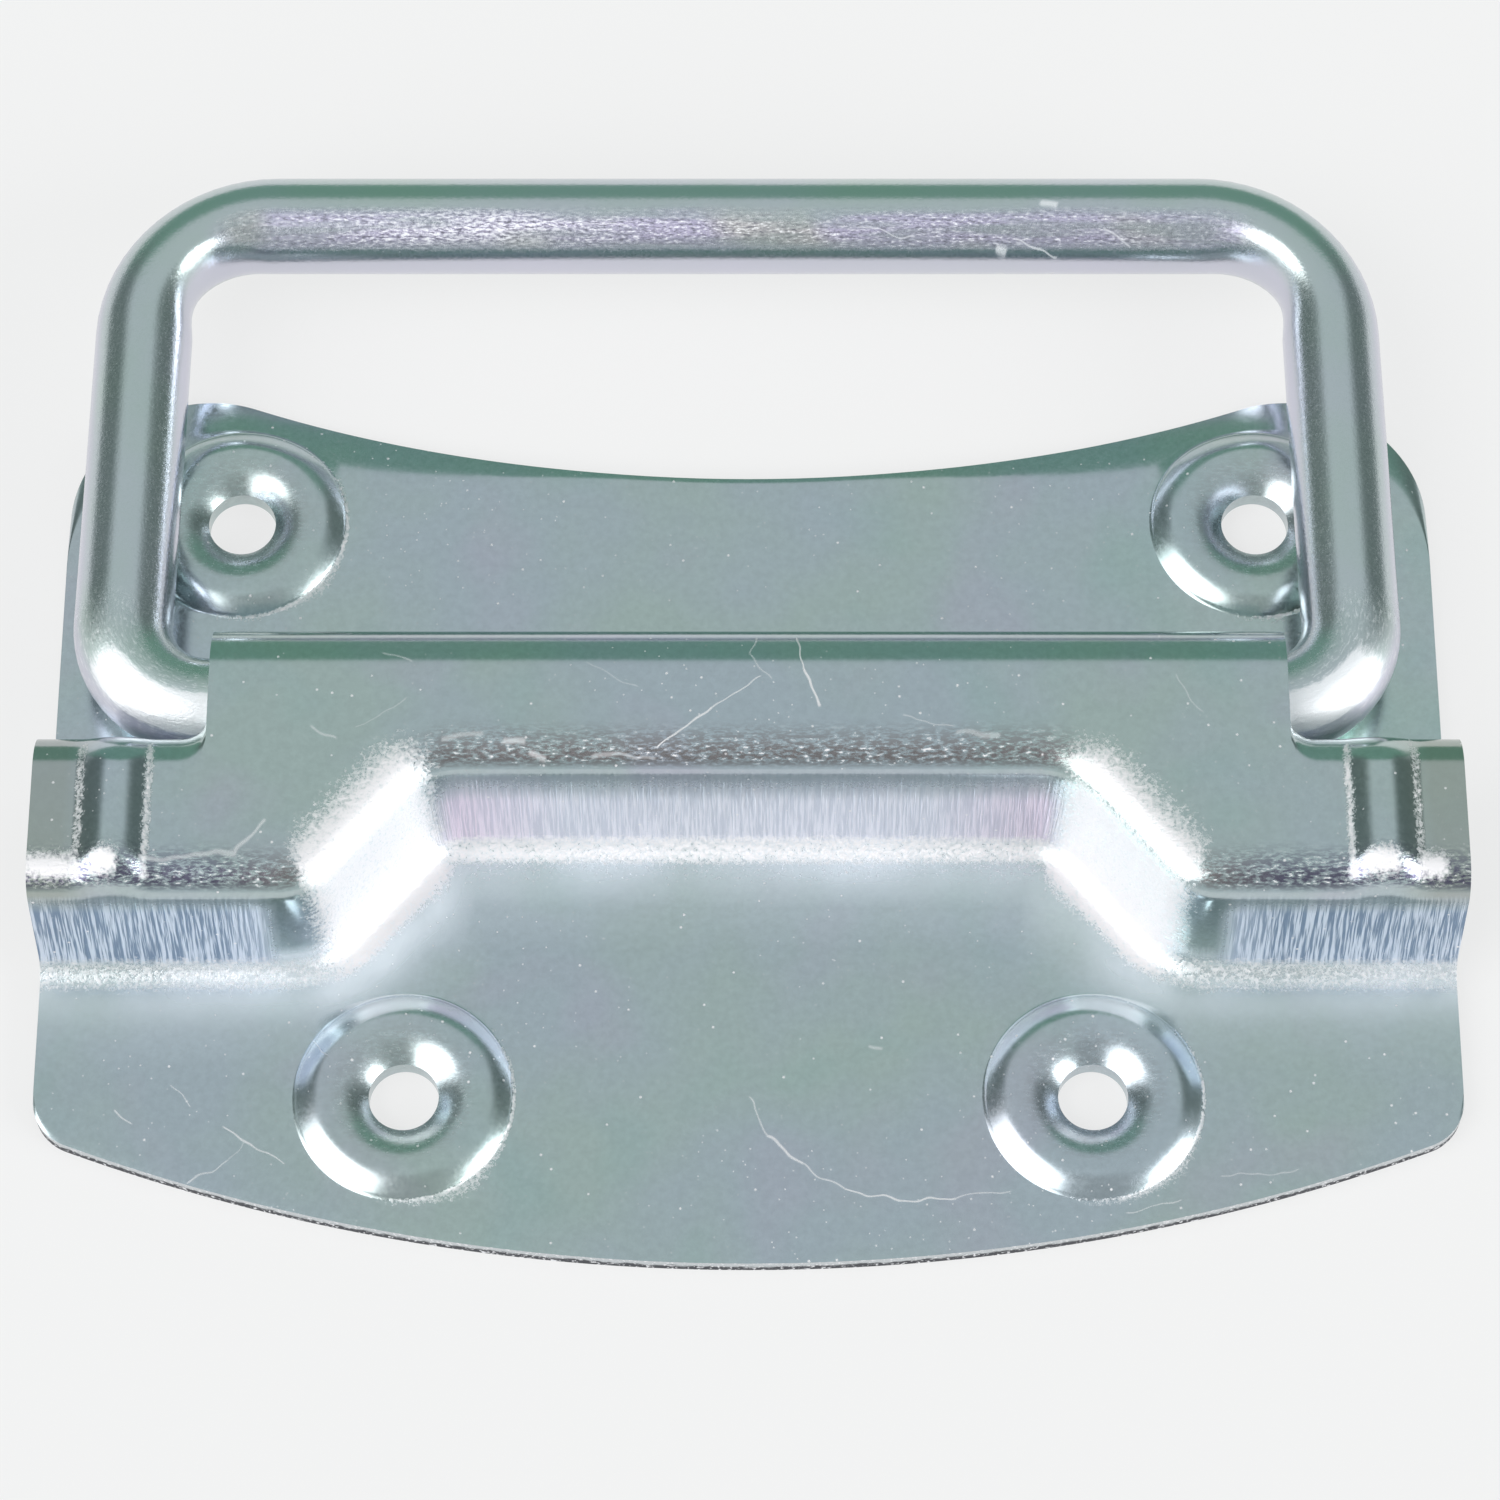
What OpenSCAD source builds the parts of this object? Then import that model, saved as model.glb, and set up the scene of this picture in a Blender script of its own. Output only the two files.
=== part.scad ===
// Chest handle: a pressed steel plate with a swinging wire bail.
// The plate lies on its back. X runs across it, Y from the lower screws to the hollow upper edge,
// and Z away from the chest. The origin is midway between the lower screws, on the back face.

/* [Plate] */
// Width across the straight sides
plate_w = 110; // [106:1:124]
// Thickness of the steel sheet
sheet_t = 1.6; // [1.2:0.1:2]
// From the lower screws down to the middle of the bowed lower edge
lower_reach = 13.5; // [12:0.5:18]
// Radius of the bowed lower edge
lower_edge_r = 148; // [120:1:200]
// Radius of the lower corners
lower_corner_r = 4; // [2:0.5:6]
// From the lower screws up to the middle of the hollow upper edge
upper_reach = 54; // [50:0.5:60]
// Radius of the hollow upper edge
upper_edge_r = 123; // [100:1:160]
// Radius of the upper corners
upper_corner_r = 11; // [8:0.5:13]

/* [Screw holes] */
// Spacing of the lower pair of holes
lower_spacing = 53; // [44:0.5:60]
// Spacing of the upper pair of holes
upper_spacing = 82; // [74:0.5:86]
// From the lower pair to the upper pair
pair_rise = 49.8; // [48:0.1:52]
// Diameter of the holes
hole_d = 5.4; // [4:0.1:5.8]
// Diameter of the countersink at the top of a boss
sink_d = 8.6; // [8:0.1:9.6]
// Diameter of the flat ring on top of a boss
ring_d = 12.2; // [11:0.1:13]
// Diameter of a boss at its foot
boss_d = 16.6; // [15:0.1:18]
// Height of a boss above the sheet
boss_h = 1.2; // [0.8:0.1:1.6]

/* [Channel] */
// Outer radius of the bends along the top of the channel
fold_r = 2.8; // [2.4:0.1:3.2]
// Radius of the fillets at the foot of the channel
foot_r = 2; // [1.5:0.1:2.5]
// Slope of the lower wall, in degrees
wall_slope = 80; // [74:1:86]
// From the lower screws to the middle of the lower wall, at the sides
side_wall_y = 12.1; // [10:0.1:14]
// From the lower screws to the middle of the lower wall, in the middle
middle_wall_y = 22.5; // [21:0.1:22.9]
// Half the distance between the slanted stretches of the lower wall
slant_x = 29; // [26:0.5:30]
// Angle of the slanted stretches in plan, in degrees
slant_angle = 50; // [44:1:60]
// Radius in plan of the wall's corners, each made of one bevel
plan_r = 5.5; // [4:0.5:6]

/* [Tongue] */
// Width of the tongue that covers the bar of the bail
tongue_w = 83.6; // [80:0.1:85]
// Outer radius of the bend along the tongue's edge
tongue_r = 5; // [2.6:0.1:5.5]
// Slope of the wall under the tongue's edge, in degrees
tongue_slope = 78; // [74:1:86]

/* [Shoulder ribs] */
// Width of a stiffening rib
rib_w = 5.4; // [4.8:0.1:6]
// Height of a rib above the shoulder
rib_h = 1.3; // [1:0.1:1.5]

/* [Bail] */
// Diameter of the wire
wire_d = 7.8; // [6:0.1:8.4]
// Width between the middles of the two legs
bail_w = 97.2; // [95:0.1:99]
// From the pivot to the middle of the grip
bail_reach = 44; // [41:0.5:60]
// Middle radius of the bends beside the grip
grip_bend_r = 10.5; // [5:0.1:14]
// Middle radius of the bends beside the bar
bar_bend_r = 7.2; // [5:0.1:7.5]
// Distance that the loose bail has slid along its bar
bail_slide = -0.9; // [-0.9:0.1:0.9]
// Gap between the two ends of the wire inside the channel
end_gap = 2; // [1:0.5:10]
// From the lower screws to the pivot
pivot_y = 30.6; // [30.4:0.1:31.5]

/* [Clearances] */
// Under the legs, over the bosses
rest_gap = 0.3; // [0.2:0.1:0.8]
// Between the bar and the roof of the tongue
roof_gap = 0.4; // [0.4:0.1:0.8]
// Between the bar and the wall of the tongue
wall_gap = 0.35; // [0.3:0.05:0.8]
// Between the legs and the shoulders that stop them
stop_gap = 0.3; // [0.3:0.1:0.8]

/* [Hidden] */
$fn = 96;
zinc = [0.66, 0.72, 0.71];
zinc_wire = [0.74, 0.77, 0.78];
half_w = plate_w / 2;
wire_r = wire_d / 2;
pivot_z = sheet_t + boss_h + rest_gap + wire_r;
// Top face of the channel above the back of the plate
top_z = pivot_z + wire_r + roof_gap + sheet_t;
// Straight steps in a bend of the sheet
bend_steps = 6;
// Length that reaches past the plate on every side, and a short overlap
clear_l = 2 * plate_w;
lap = 0.5;

// Run of the lower wall in plan
wall_run = fold_run(fold_r, wall_slope);

// Plan of a slanted stretch: its middle, half its width, and the bevels of its two corners
slant_y = (side_wall_y + middle_wall_y) / 2;
slant_half = (middle_wall_y - side_wall_y) / tan(slant_angle) / 2;
bevel_cut = plan_r * (1 / cos(slant_angle / 2) - 1) * [sin(slant_angle / 2), cos(slant_angle / 2)];
middle_corner = [slant_x - slant_half, middle_wall_y] - bevel_cut;
side_corner = [slant_x + slant_half, side_wall_y] + bevel_cut;

// Upper walls: where their bends end on the channel's flat top
shoulder_wall_y = pivot_y - wire_r - stop_gap;
tongue_top_y = (sin(tongue_slope) * pivot_y + cos(tongue_slope) * (pivot_z - top_z + tongue_r)
    + wire_r + wall_gap + sheet_t - tongue_r) / sin(tongue_slope);
tongue_foot_y = tongue_top_y + fold_run(tongue_r, tongue_slope);
shoulder_foot_y = shoulder_wall_y + foot_r;

// A rib is a shallow arch of this radius
rib_r = (rib_w * rib_w / 4 + rib_h * rib_h) / (2 * rib_h);
rib_axis_z = top_z + rib_h - rib_r;

// Length in plan of a fold from the flange up to the channel's top
function fold_run(bend_r, slope) =
    (bend_r + foot_r + (top_z - sheet_t - bend_r - foot_r) * cos(slope)) / sin(slope);

// Points of an arc round a centre
function arc(centre, r, from_angle, turn) = [
    for (i = [0:bend_steps])
        let (angle = from_angle + turn * i / bend_steps)
            centre + r * [cos(angle), sin(angle)]
];

// Face of a fold from the foot fillet over the sloped wall to the top bend. The foot starts at zero.
// An inset of one sheet gives the face behind
function fold_face(bend_r, slope, inset) = concat(
    arc([0, sheet_t + foot_r], foot_r + inset, -90, slope),
    arc([fold_run(bend_r, slope), top_z - bend_r], bend_r - inset, 90 + slope, -slope)
);

// Section across the channel, from the lower wall to an upper wall whose foot starts at foot_y
function channel_points(foot_y, bend_r, slope, inset) =
    let (
        low = fold_face(fold_r, wall_slope, inset),
        high = fold_face(bend_r, slope, inset),
        last = len(high) - 1,
        low_y = side_wall_y - wall_run / 2,
        base_z = sheet_t / 2 - 2 * inset
    )
    concat(
        [[low_y, base_z]],
        [for (q = low) [low_y + q.x, q.y]],
        [for (i = [last:-1:0]) [foot_y - high[i].x, high[i].y]],
        [[foot_y, base_z]]
    );

// Carries a section in Y and Z along X
module along_x(from_x, to_x) {
    translate([from_x, 0, 0]) rotate([90, 0, 90]) linear_extrude(to_x - from_x) children();
}

// Repeats on the left what is made on the right
module both_sides() {
    children();
    mirror([1, 0, 0]) children();
}

// Rounds one corner of an outline with a circle that touches it along two directions
module rounded(centre, r, toward_side, toward_edge) {
    reach = 3 * r;
    difference() {
        children();
        polygon([
            centre,
            centre + reach * toward_side,
            centre + reach * (toward_side + toward_edge),
            centre + reach * toward_edge
        ]);
    }
    translate(centre) circle(r);
}

// Outline below: straight sides, round corners and a bowed edge
module lower_outline() {
    r = lower_corner_r;
    edge_c = [0, lower_edge_r - lower_reach];
    side_x = half_w - r;
    corner_y = edge_c.y - sqrt(pow(lower_edge_r - r, 2) - side_x * side_x);
    right_c = [side_x, corner_y];
    left_c = [-side_x, corner_y];
    rounded(left_c, r, [-1, 0], (left_c - edge_c) / (lower_edge_r - r))
        rounded(right_c, r, [1, 0], (right_c - edge_c) / (lower_edge_r - r))
            intersection() {
                translate(edge_c) circle(lower_edge_r, $fn = 360);
                translate([-half_w, -clear_l]) square([plate_w, 2 * clear_l]);
            }
}

// Outline above: straight sides, large round corners and a hollow edge
module upper_outline() {
    r = upper_corner_r;
    edge_c = [0, upper_reach + upper_edge_r];
    side_x = half_w - r;
    corner_y = edge_c.y - sqrt(pow(upper_edge_r + r, 2) - side_x * side_x);
    right_c = [side_x, corner_y];
    left_c = [-side_x, corner_y];
    rounded(left_c, r, [-1, 0], (edge_c - left_c) / (upper_edge_r + r))
        rounded(right_c, r, [1, 0], (edge_c - right_c) / (upper_edge_r + r))
            difference() {
                translate([-half_w, -clear_l]) square([plate_w, edge_c.y + clear_l]);
                translate(edge_c) circle(upper_edge_r, $fn = 360);
            }
}

// Space in front of the lower wall, which the wall's face closes
module wall_front(inset) {
    face = fold_face(fold_r, wall_slope, inset);
    high_z = 2 * top_z;
    low_z = sheet_t - 4 * inset;
    translate([-wall_run / 2, 0]) polygon(concat(
        [[-clear_l, low_z], [0, low_z]],
        face,
        [[wall_run, high_z], [-clear_l, high_z]]
    ));
}

// Space in front of a wall through a point, turned in plan, and of a given half length
module turned_front(point, angle, half_l, inset) {
    translate([point.x, point.y, 0]) rotate(-angle) along_x(-half_l, half_l) wall_front(inset);
}

// Bay in the channel's lower side, between the two slanted stretches of the lower wall
module bay(inset) {
    intersection() {
        translate([0, middle_wall_y, 0]) along_x(-half_w, half_w) wall_front(inset);
        bay_side(inset);
        mirror([1, 0, 0]) bay_side(inset);
    }
}

module bay_side(inset) {
    intersection() {
        turned_front([slant_x, slant_y], slant_angle, clear_l, inset);
        turned_front(middle_corner, slant_angle / 2, clear_l, inset);
    }
}

// Raised channel with its tongue, as a filled form; an inset of one sheet gives the hollow behind it
module channel(inset) {
    tongue_x = tongue_w / 2;
    side_x = half_w + inset;
    difference() {
        union() {
            along_x(-tongue_x, tongue_x)
                polygon(channel_points(tongue_foot_y, tongue_r, tongue_slope, inset));
            both_sides() along_x(tongue_x - lap, side_x)
                polygon(channel_points(shoulder_foot_y, fold_r, 90, inset));
        }
        bay(inset);
        both_sides() turned_front(side_corner, slant_angle / 2, 2 * plan_r, inset);
    }
}

// Flat sheet over the whole outline
module blank() {
    linear_extrude(sheet_t) intersection() {
        lower_outline();
        upper_outline();
    }
}

// Rib on the right shoulder, in line with the leg that it backs up; inset gives the face below the sheet
module rib(inset) {
    end_r = fold_r + rib_h;
    front_y = shoulder_wall_y - end_r;
    rear_y = side_wall_y + wall_run / 2 + rib_h / sin(wall_slope);
    end_z = top_z - fold_r;
    intersection() {
        translate([bail_w / 2, -clear_l / 2, rib_axis_z]) rotate([-90, 0, 0])
            cylinder(h = clear_l, r = rib_r - inset);
        along_x(bail_w / 2 - rib_w, bail_w / 2 + rib_w) {
            for (y = [front_y, rear_y]) translate([y, end_z]) circle(end_r - inset);
            translate([rear_y, rib_axis_z - rib_r])
                square([front_y - rear_y, top_z + rib_h - inset - rib_axis_z + rib_r]);
        }
    }
}

// Places of the four screws
module at_screws() {
    for (side = [-1, 1]) {
        translate([side * lower_spacing / 2, 0, 0]) children();
        translate([side * upper_spacing / 2, pair_rise, 0]) children();
    }
}

// Raised boss round a screw
module boss() {
    rotate_extrude() polygon([
        [0, sheet_t / 2],
        [boss_d / 2, sheet_t / 2],
        [boss_d / 2, sheet_t],
        [ring_d / 2, sheet_t + boss_h],
        [0, sheet_t + boss_h]
    ]);
}

// Hollow behind a boss, its countersink and its hole
module boss_cuts() {
    sink_depth = (sink_d - hole_d) / 2;
    boss_top = sheet_t + boss_h;
    rotate_extrude() polygon([
        [boss_d / 2, -sheet_t],
        [boss_d / 2, 0],
        [ring_d / 2, boss_h],
        [sink_d / 2, boss_h],
        [sink_d / 2 - boss_h, 0],
        [sink_d / 2 - boss_h, -sheet_t]
    ]);
    translate([0, 0, boss_top - sink_depth])
        cylinder(h = 2 * sink_depth, r1 = hole_d / 2, r2 = hole_d / 2 + 2 * sink_depth);
    translate([0, 0, -sheet_t]) cylinder(h = 4 * sheet_t, d = hole_d);
}

// Plate: one pressing of sheet steel
module plate() {
    color(zinc) difference() {
        union() {
            blank();
            channel(0);
            both_sides() rib(0);
            at_screws() boss();
        }
        channel(sheet_t);
        both_sides() rib(sheet_t);
        at_screws() boss_cuts();
    }
}

// Straight wire between two points of the bail, along X or Y
module wire_x(from_x, to_x) {
    translate([from_x, 0, 0]) rotate([0, 90, 0]) cylinder(h = to_x - from_x, d = wire_d);
}

module wire_y(from_y, to_y) {
    translate([0, from_y, 0]) rotate([-90, 0, 0]) cylinder(h = to_y - from_y, d = wire_d);
}

// Quarter bend of the wire
module wire_bend(bend_r, from_angle) {
    rotate(from_angle) rotate_extrude(angle = 90) translate([bend_r, 0]) circle(d = wire_d);
}

// Bail: one bent wire, lying over the upper flange, with both ends turned into the channel
module bail() {
    leg_x = bail_w / 2;
    grip_x = leg_x - grip_bend_r;
    bar_x = leg_x - bar_bend_r;
    leg_end = bail_reach - grip_bend_r;
    color(zinc_wire) translate([bail_slide, pivot_y, pivot_z]) {
        translate([0, bail_reach, 0]) wire_x(-grip_x, grip_x);
        both_sides() {
            translate([grip_x, leg_end, 0]) wire_bend(grip_bend_r, 0);
            translate([leg_x, 0, 0]) wire_y(bar_bend_r, leg_end);
            translate([bar_x, bar_bend_r, 0]) wire_bend(bar_bend_r, -90);
            wire_x(end_gap / 2, bar_x);
        }
    }
}

plate();
bail();
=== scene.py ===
import math
import bpy
import numpy as np
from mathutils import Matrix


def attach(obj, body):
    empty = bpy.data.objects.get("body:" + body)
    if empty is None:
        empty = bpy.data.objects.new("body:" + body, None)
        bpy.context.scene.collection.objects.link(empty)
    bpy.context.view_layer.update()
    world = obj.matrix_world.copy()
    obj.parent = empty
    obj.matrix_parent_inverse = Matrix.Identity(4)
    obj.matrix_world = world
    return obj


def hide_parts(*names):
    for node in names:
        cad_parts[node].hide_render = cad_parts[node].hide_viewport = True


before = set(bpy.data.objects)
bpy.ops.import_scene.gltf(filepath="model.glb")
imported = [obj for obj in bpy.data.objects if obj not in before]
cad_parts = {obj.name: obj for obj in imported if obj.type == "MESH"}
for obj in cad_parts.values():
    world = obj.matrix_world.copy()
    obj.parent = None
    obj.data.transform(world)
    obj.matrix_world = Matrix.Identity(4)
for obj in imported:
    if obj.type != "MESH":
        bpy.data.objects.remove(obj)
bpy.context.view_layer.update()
print("frame loaded")

mm = 0.001


def linearColour(hexText):
    # sRGB hex to linear light, channel by channel
    raw = [int(hexText[i:i + 2], 16) / 255 for i in (1, 3, 5)]
    return tuple(c / 12.92 if c <= 0.04045 else ((c + 0.055) / 1.055) ** 2.4 for c in raw) + (1.0,)


def linearTones(form):
    # the colours of a form, ready for the nodes
    return {key: linearColour(value) for key, value in form.items() if isinstance(value, str)}


def addNode(tree, kind, settings=None, links=None, out=0):
    # one node: settings fill its own properties or its sockets, links join sockets to it; gives back one output
    node = tree.nodes.new("ShaderNode" + kind)
    for key, value in (settings or {}).items():
        if isinstance(key, str) and hasattr(node, key) and key not in node.inputs:
            setattr(node, key, value)
        else:
            node.inputs[key].default_value = value
    for key, socket in (links or {}).items():
        tree.links.new(socket, node.inputs[key])
    return node.outputs[out] if node.outputs else None


def newTree(name):
    # a material with an empty node tree
    material = bpy.data.materials.new(name)
    material.use_nodes = True
    material.node_tree.nodes.clear()
    return material, material.node_tree


def smoothMesh(name, points, faces):
    # a smooth-shaded mesh from points in mm
    mesh = bpy.data.meshes.new(name)
    mesh.from_pydata((points * mm).tolist(), [], faces)
    mesh.validate()
    mesh.polygons.foreach_set("use_smooth", np.ones(len(mesh.polygons), bool))
    return mesh


def addLayer(mesh, name, values):
    # one number for each point, which the finish reads
    layer = mesh.attributes.new(name, "FLOAT", "POINT")
    layer.data.foreach_set("value", values.astype(np.float32).reshape(-1))


def placeObject(name, data):
    # a new object in the scene
    made = bpy.data.objects.new(name, data)
    bpy.context.scene.collection.objects.link(made)
    return made


def ramp(v, start, length):
    # 0 to 1 with flat ends, from start on over a length that is negative where the ramp falls
    t = np.clip((v - start) / length, 0.0, 1.0)
    return t * t * (3 - 2 * t)


def band(v, start, rise, end, fall):
    # up over rise from start on, and down over fall to end
    return ramp(v, start, rise) * ramp(v, end, -fall)


# plate: one pressing of sheet, worked out as a front and a back surface on the same grid, in mm and degrees

plateForm = {
    "halfWidth": 55.0, "sheet": 1.6, "top": 12.9,
    "lowerReach": 13.5, "lowerBow": 148.0, "lowerCorner": 4.0,
    "upperReach": 54.0, "upperHollow": 123.0, "upperCorner": 11.0,
    "footFillet": 2.0, "foldRadius": 2.8, "wallSlope": 80.0,
    "sideWallY": 12.1, "middleWallY": 22.5, "slantX": 29.0, "slantAngle": 50.0, "planRound": 5.5,
    "tongueHalf": 41.8, "tongueRadius": 5.0, "tongueSlope": 78.0, "tongueFootY": 39.35,
    "shoulderFootY": 28.4, "shoulderRadius": 3.6, "shoulderSlope": 90.0,
    "notchRound": 2.1, "notchLow": 9.3, "notchFade": 1.5,
    "ribX": 48.6, "ribHalf": 2.7, "ribHeight": 1.3, "ribSoft": 0.3, "ribReach": 3.6,
    "rollWidth": 4.4, "rollDrop": 0.72, "rollPower": 1.4, "rollLeast": 0.12, "rollX": 8.0, "rollGrow": 32.0,
    "rollLower": 0.2, "cutBevel": 0.16, "bevelAngle": 50.0,
}
# where the spacing of columns and rows changes, and how many rows there are; a fold has fillet, wall and bend
plateGrid = {
    "evenX": 16.0, "slitBefore": 1.5, "slitAfter": 2.2, "endClose": 4.0, "besideX": 35.9,
    "edgeRow": 0.6, "edgeRows": 2, "lowerY": 8.7, "lowerRows": 26, "upperY": 40.6, "rimRow": 1.6,
    "lowFold": (9, 4, 11), "shoulderFold": (7, 3, 12), "tongueFold": (7, 9, 12),
}
bossForm = {
    "lower": (26.5, 0.0), "upper": (41.0, 49.8), "hole": 2.7, "height": 1.2, "blockHalf": 9.3, "crease": 0.12,
    "foot": 8.6, "ring": 6.1, "lip": 5.7, "lipCurve": 3.5, "backLip": 4.8, "backFoot": 3.1,
}


def lowerEdge(x):
    # a circle bowed downwards, met by a small circle at each corner
    f = plateForm
    bow, r, side = f["lowerBow"], f["lowerCorner"], f["halfWidth"] - f["lowerCorner"]
    centreY = bow - f["lowerReach"]
    cornerY = centreY - math.sqrt((bow - r) ** 2 - side ** 2)
    ax = np.abs(x)
    onBow = centreY - np.sqrt(bow ** 2 - ax ** 2)
    onCorner = cornerY - np.sqrt(np.maximum(r ** 2 - (ax - side) ** 2, 0))
    return np.where(ax <= side * bow / (bow - r), onBow, onCorner)


def upperEdge(x):
    # a circle hollowed from above, met by a large circle at each corner
    f = plateForm
    hollow, r, side = f["upperHollow"], f["upperCorner"], f["halfWidth"] - f["upperCorner"]
    centreY = f["upperReach"] + hollow
    cornerY = centreY - math.sqrt((hollow + r) ** 2 - side ** 2)
    ax = np.abs(x)
    onHollow = centreY - np.sqrt(hollow ** 2 - ax ** 2)
    onCorner = cornerY + np.sqrt(np.maximum(r ** 2 - (ax - side) ** 2, 0))
    return np.where(ax <= side * hollow / (hollow + r), onHollow, onCorner)


def wallPath():
    # plan path of the lower wall: straight stretches joined by arcs; gives points and uphill normals, left to right
    f, spacing = plateForm, plateGrid
    turn, r = math.radians(f["slantAngle"]), f["planRound"]
    rise = f["middleWallY"] - f["sideWallY"]
    innerX = f["slantX"] - rise / (2 * math.tan(turn))
    tangent = r * math.tan(turn / 2)
    half = []
    x0, evenX = innerX - tangent, spacing["evenX"]
    a = np.concatenate([np.linspace(0, evenX, 9), np.linspace(evenX, x0, 8)[1:]])
    half.append(np.stack([a, np.full_like(a, f["middleWallY"]), 0 * a, 0 * a + 1], 1))
    phi = np.linspace(math.pi / 2, math.pi / 2 - turn, 13)[1:]
    c = np.array([x0, f["middleWallY"] - r])
    half.append(np.stack([c[0] + r * np.cos(phi), c[1] + r * np.sin(phi), np.cos(phi), np.sin(phi)], 1))
    start = half[-1][-1, :2]
    along = np.array([math.cos(turn), -math.sin(turn)])
    normal = np.array([math.sin(turn), math.cos(turn)])
    length = rise / math.sin(turn) - 2 * tangent
    s = np.linspace(0, length, 10)[1:]
    half.append(np.concatenate([start + s[:, None] * along, np.repeat(normal[None], len(s), 0)], 1))
    end = half[-1][-1, :2]
    c = end + normal * r
    phi = np.linspace(1.5 * math.pi - turn, 1.5 * math.pi, 13)[1:]
    half.append(np.stack([c[0] + r * np.cos(phi), c[1] + r * np.sin(phi), -np.cos(phi), -np.sin(phi)], 1))
    slit, edge, close = f["tongueHalf"], f["halfWidth"], spacing["endClose"]
    before, after = slit - spacing["slitBefore"], slit + spacing["slitAfter"]
    ribStart = f["ribX"] - f["ribReach"]
    roundX = edge - close + close * np.sin(np.linspace(0, math.pi / 2, 17))
    x = np.concatenate([
        np.linspace(half[-1][-1, 0], before, 6)[1:], np.linspace(before, slit, 6)[1:],
        np.linspace(slit, after, 9)[1:], np.linspace(after, ribStart, 4)[1:],
        np.linspace(ribStart, edge - close, 24)[1:], roundX[1:]])
    half.append(np.stack([x, np.full_like(x, f["sideWallY"]), 0 * x, 0 * x + 1], 1))
    right = np.concatenate(half)
    left = right[:0:-1] * np.array([-1, 1, -1, 1])
    return np.concatenate([left, right])


def foldFace(bend, slope, inset, counts):
    # section of a fold from its foot fillet up the sloped wall and over the top bend: run, height, tilt of the face
    f = plateForm
    tilt = math.radians(slope)
    foot, sheet, top = f["footFillet"], f["sheet"], f["top"]
    run = (bend + foot + (top - sheet - bend - foot) * math.cos(tilt)) / math.sin(tilt)
    a = np.linspace(0, tilt, counts[0])
    low = np.stack([(foot + inset) * np.sin(a), sheet + foot - (foot + inset) * np.cos(a), a], 1)
    b = np.linspace(tilt, 0, counts[2])
    high = np.stack([run - (bend - inset) * np.sin(b), top - bend + (bend - inset) * np.cos(b), b], 1)
    k = np.linspace(0, 1, counts[1] + 2)[1:-1, None]
    wall = low[-1] + k * (high[0] - low[-1])
    return np.concatenate([low, wall, high]), run


def stretch(a, b, count):
    # rows of points from a to b, without a itself
    k = np.linspace(0, 1, count + 1)[1:, None, None]
    return a[None] + k * (b - a)[None]


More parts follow.
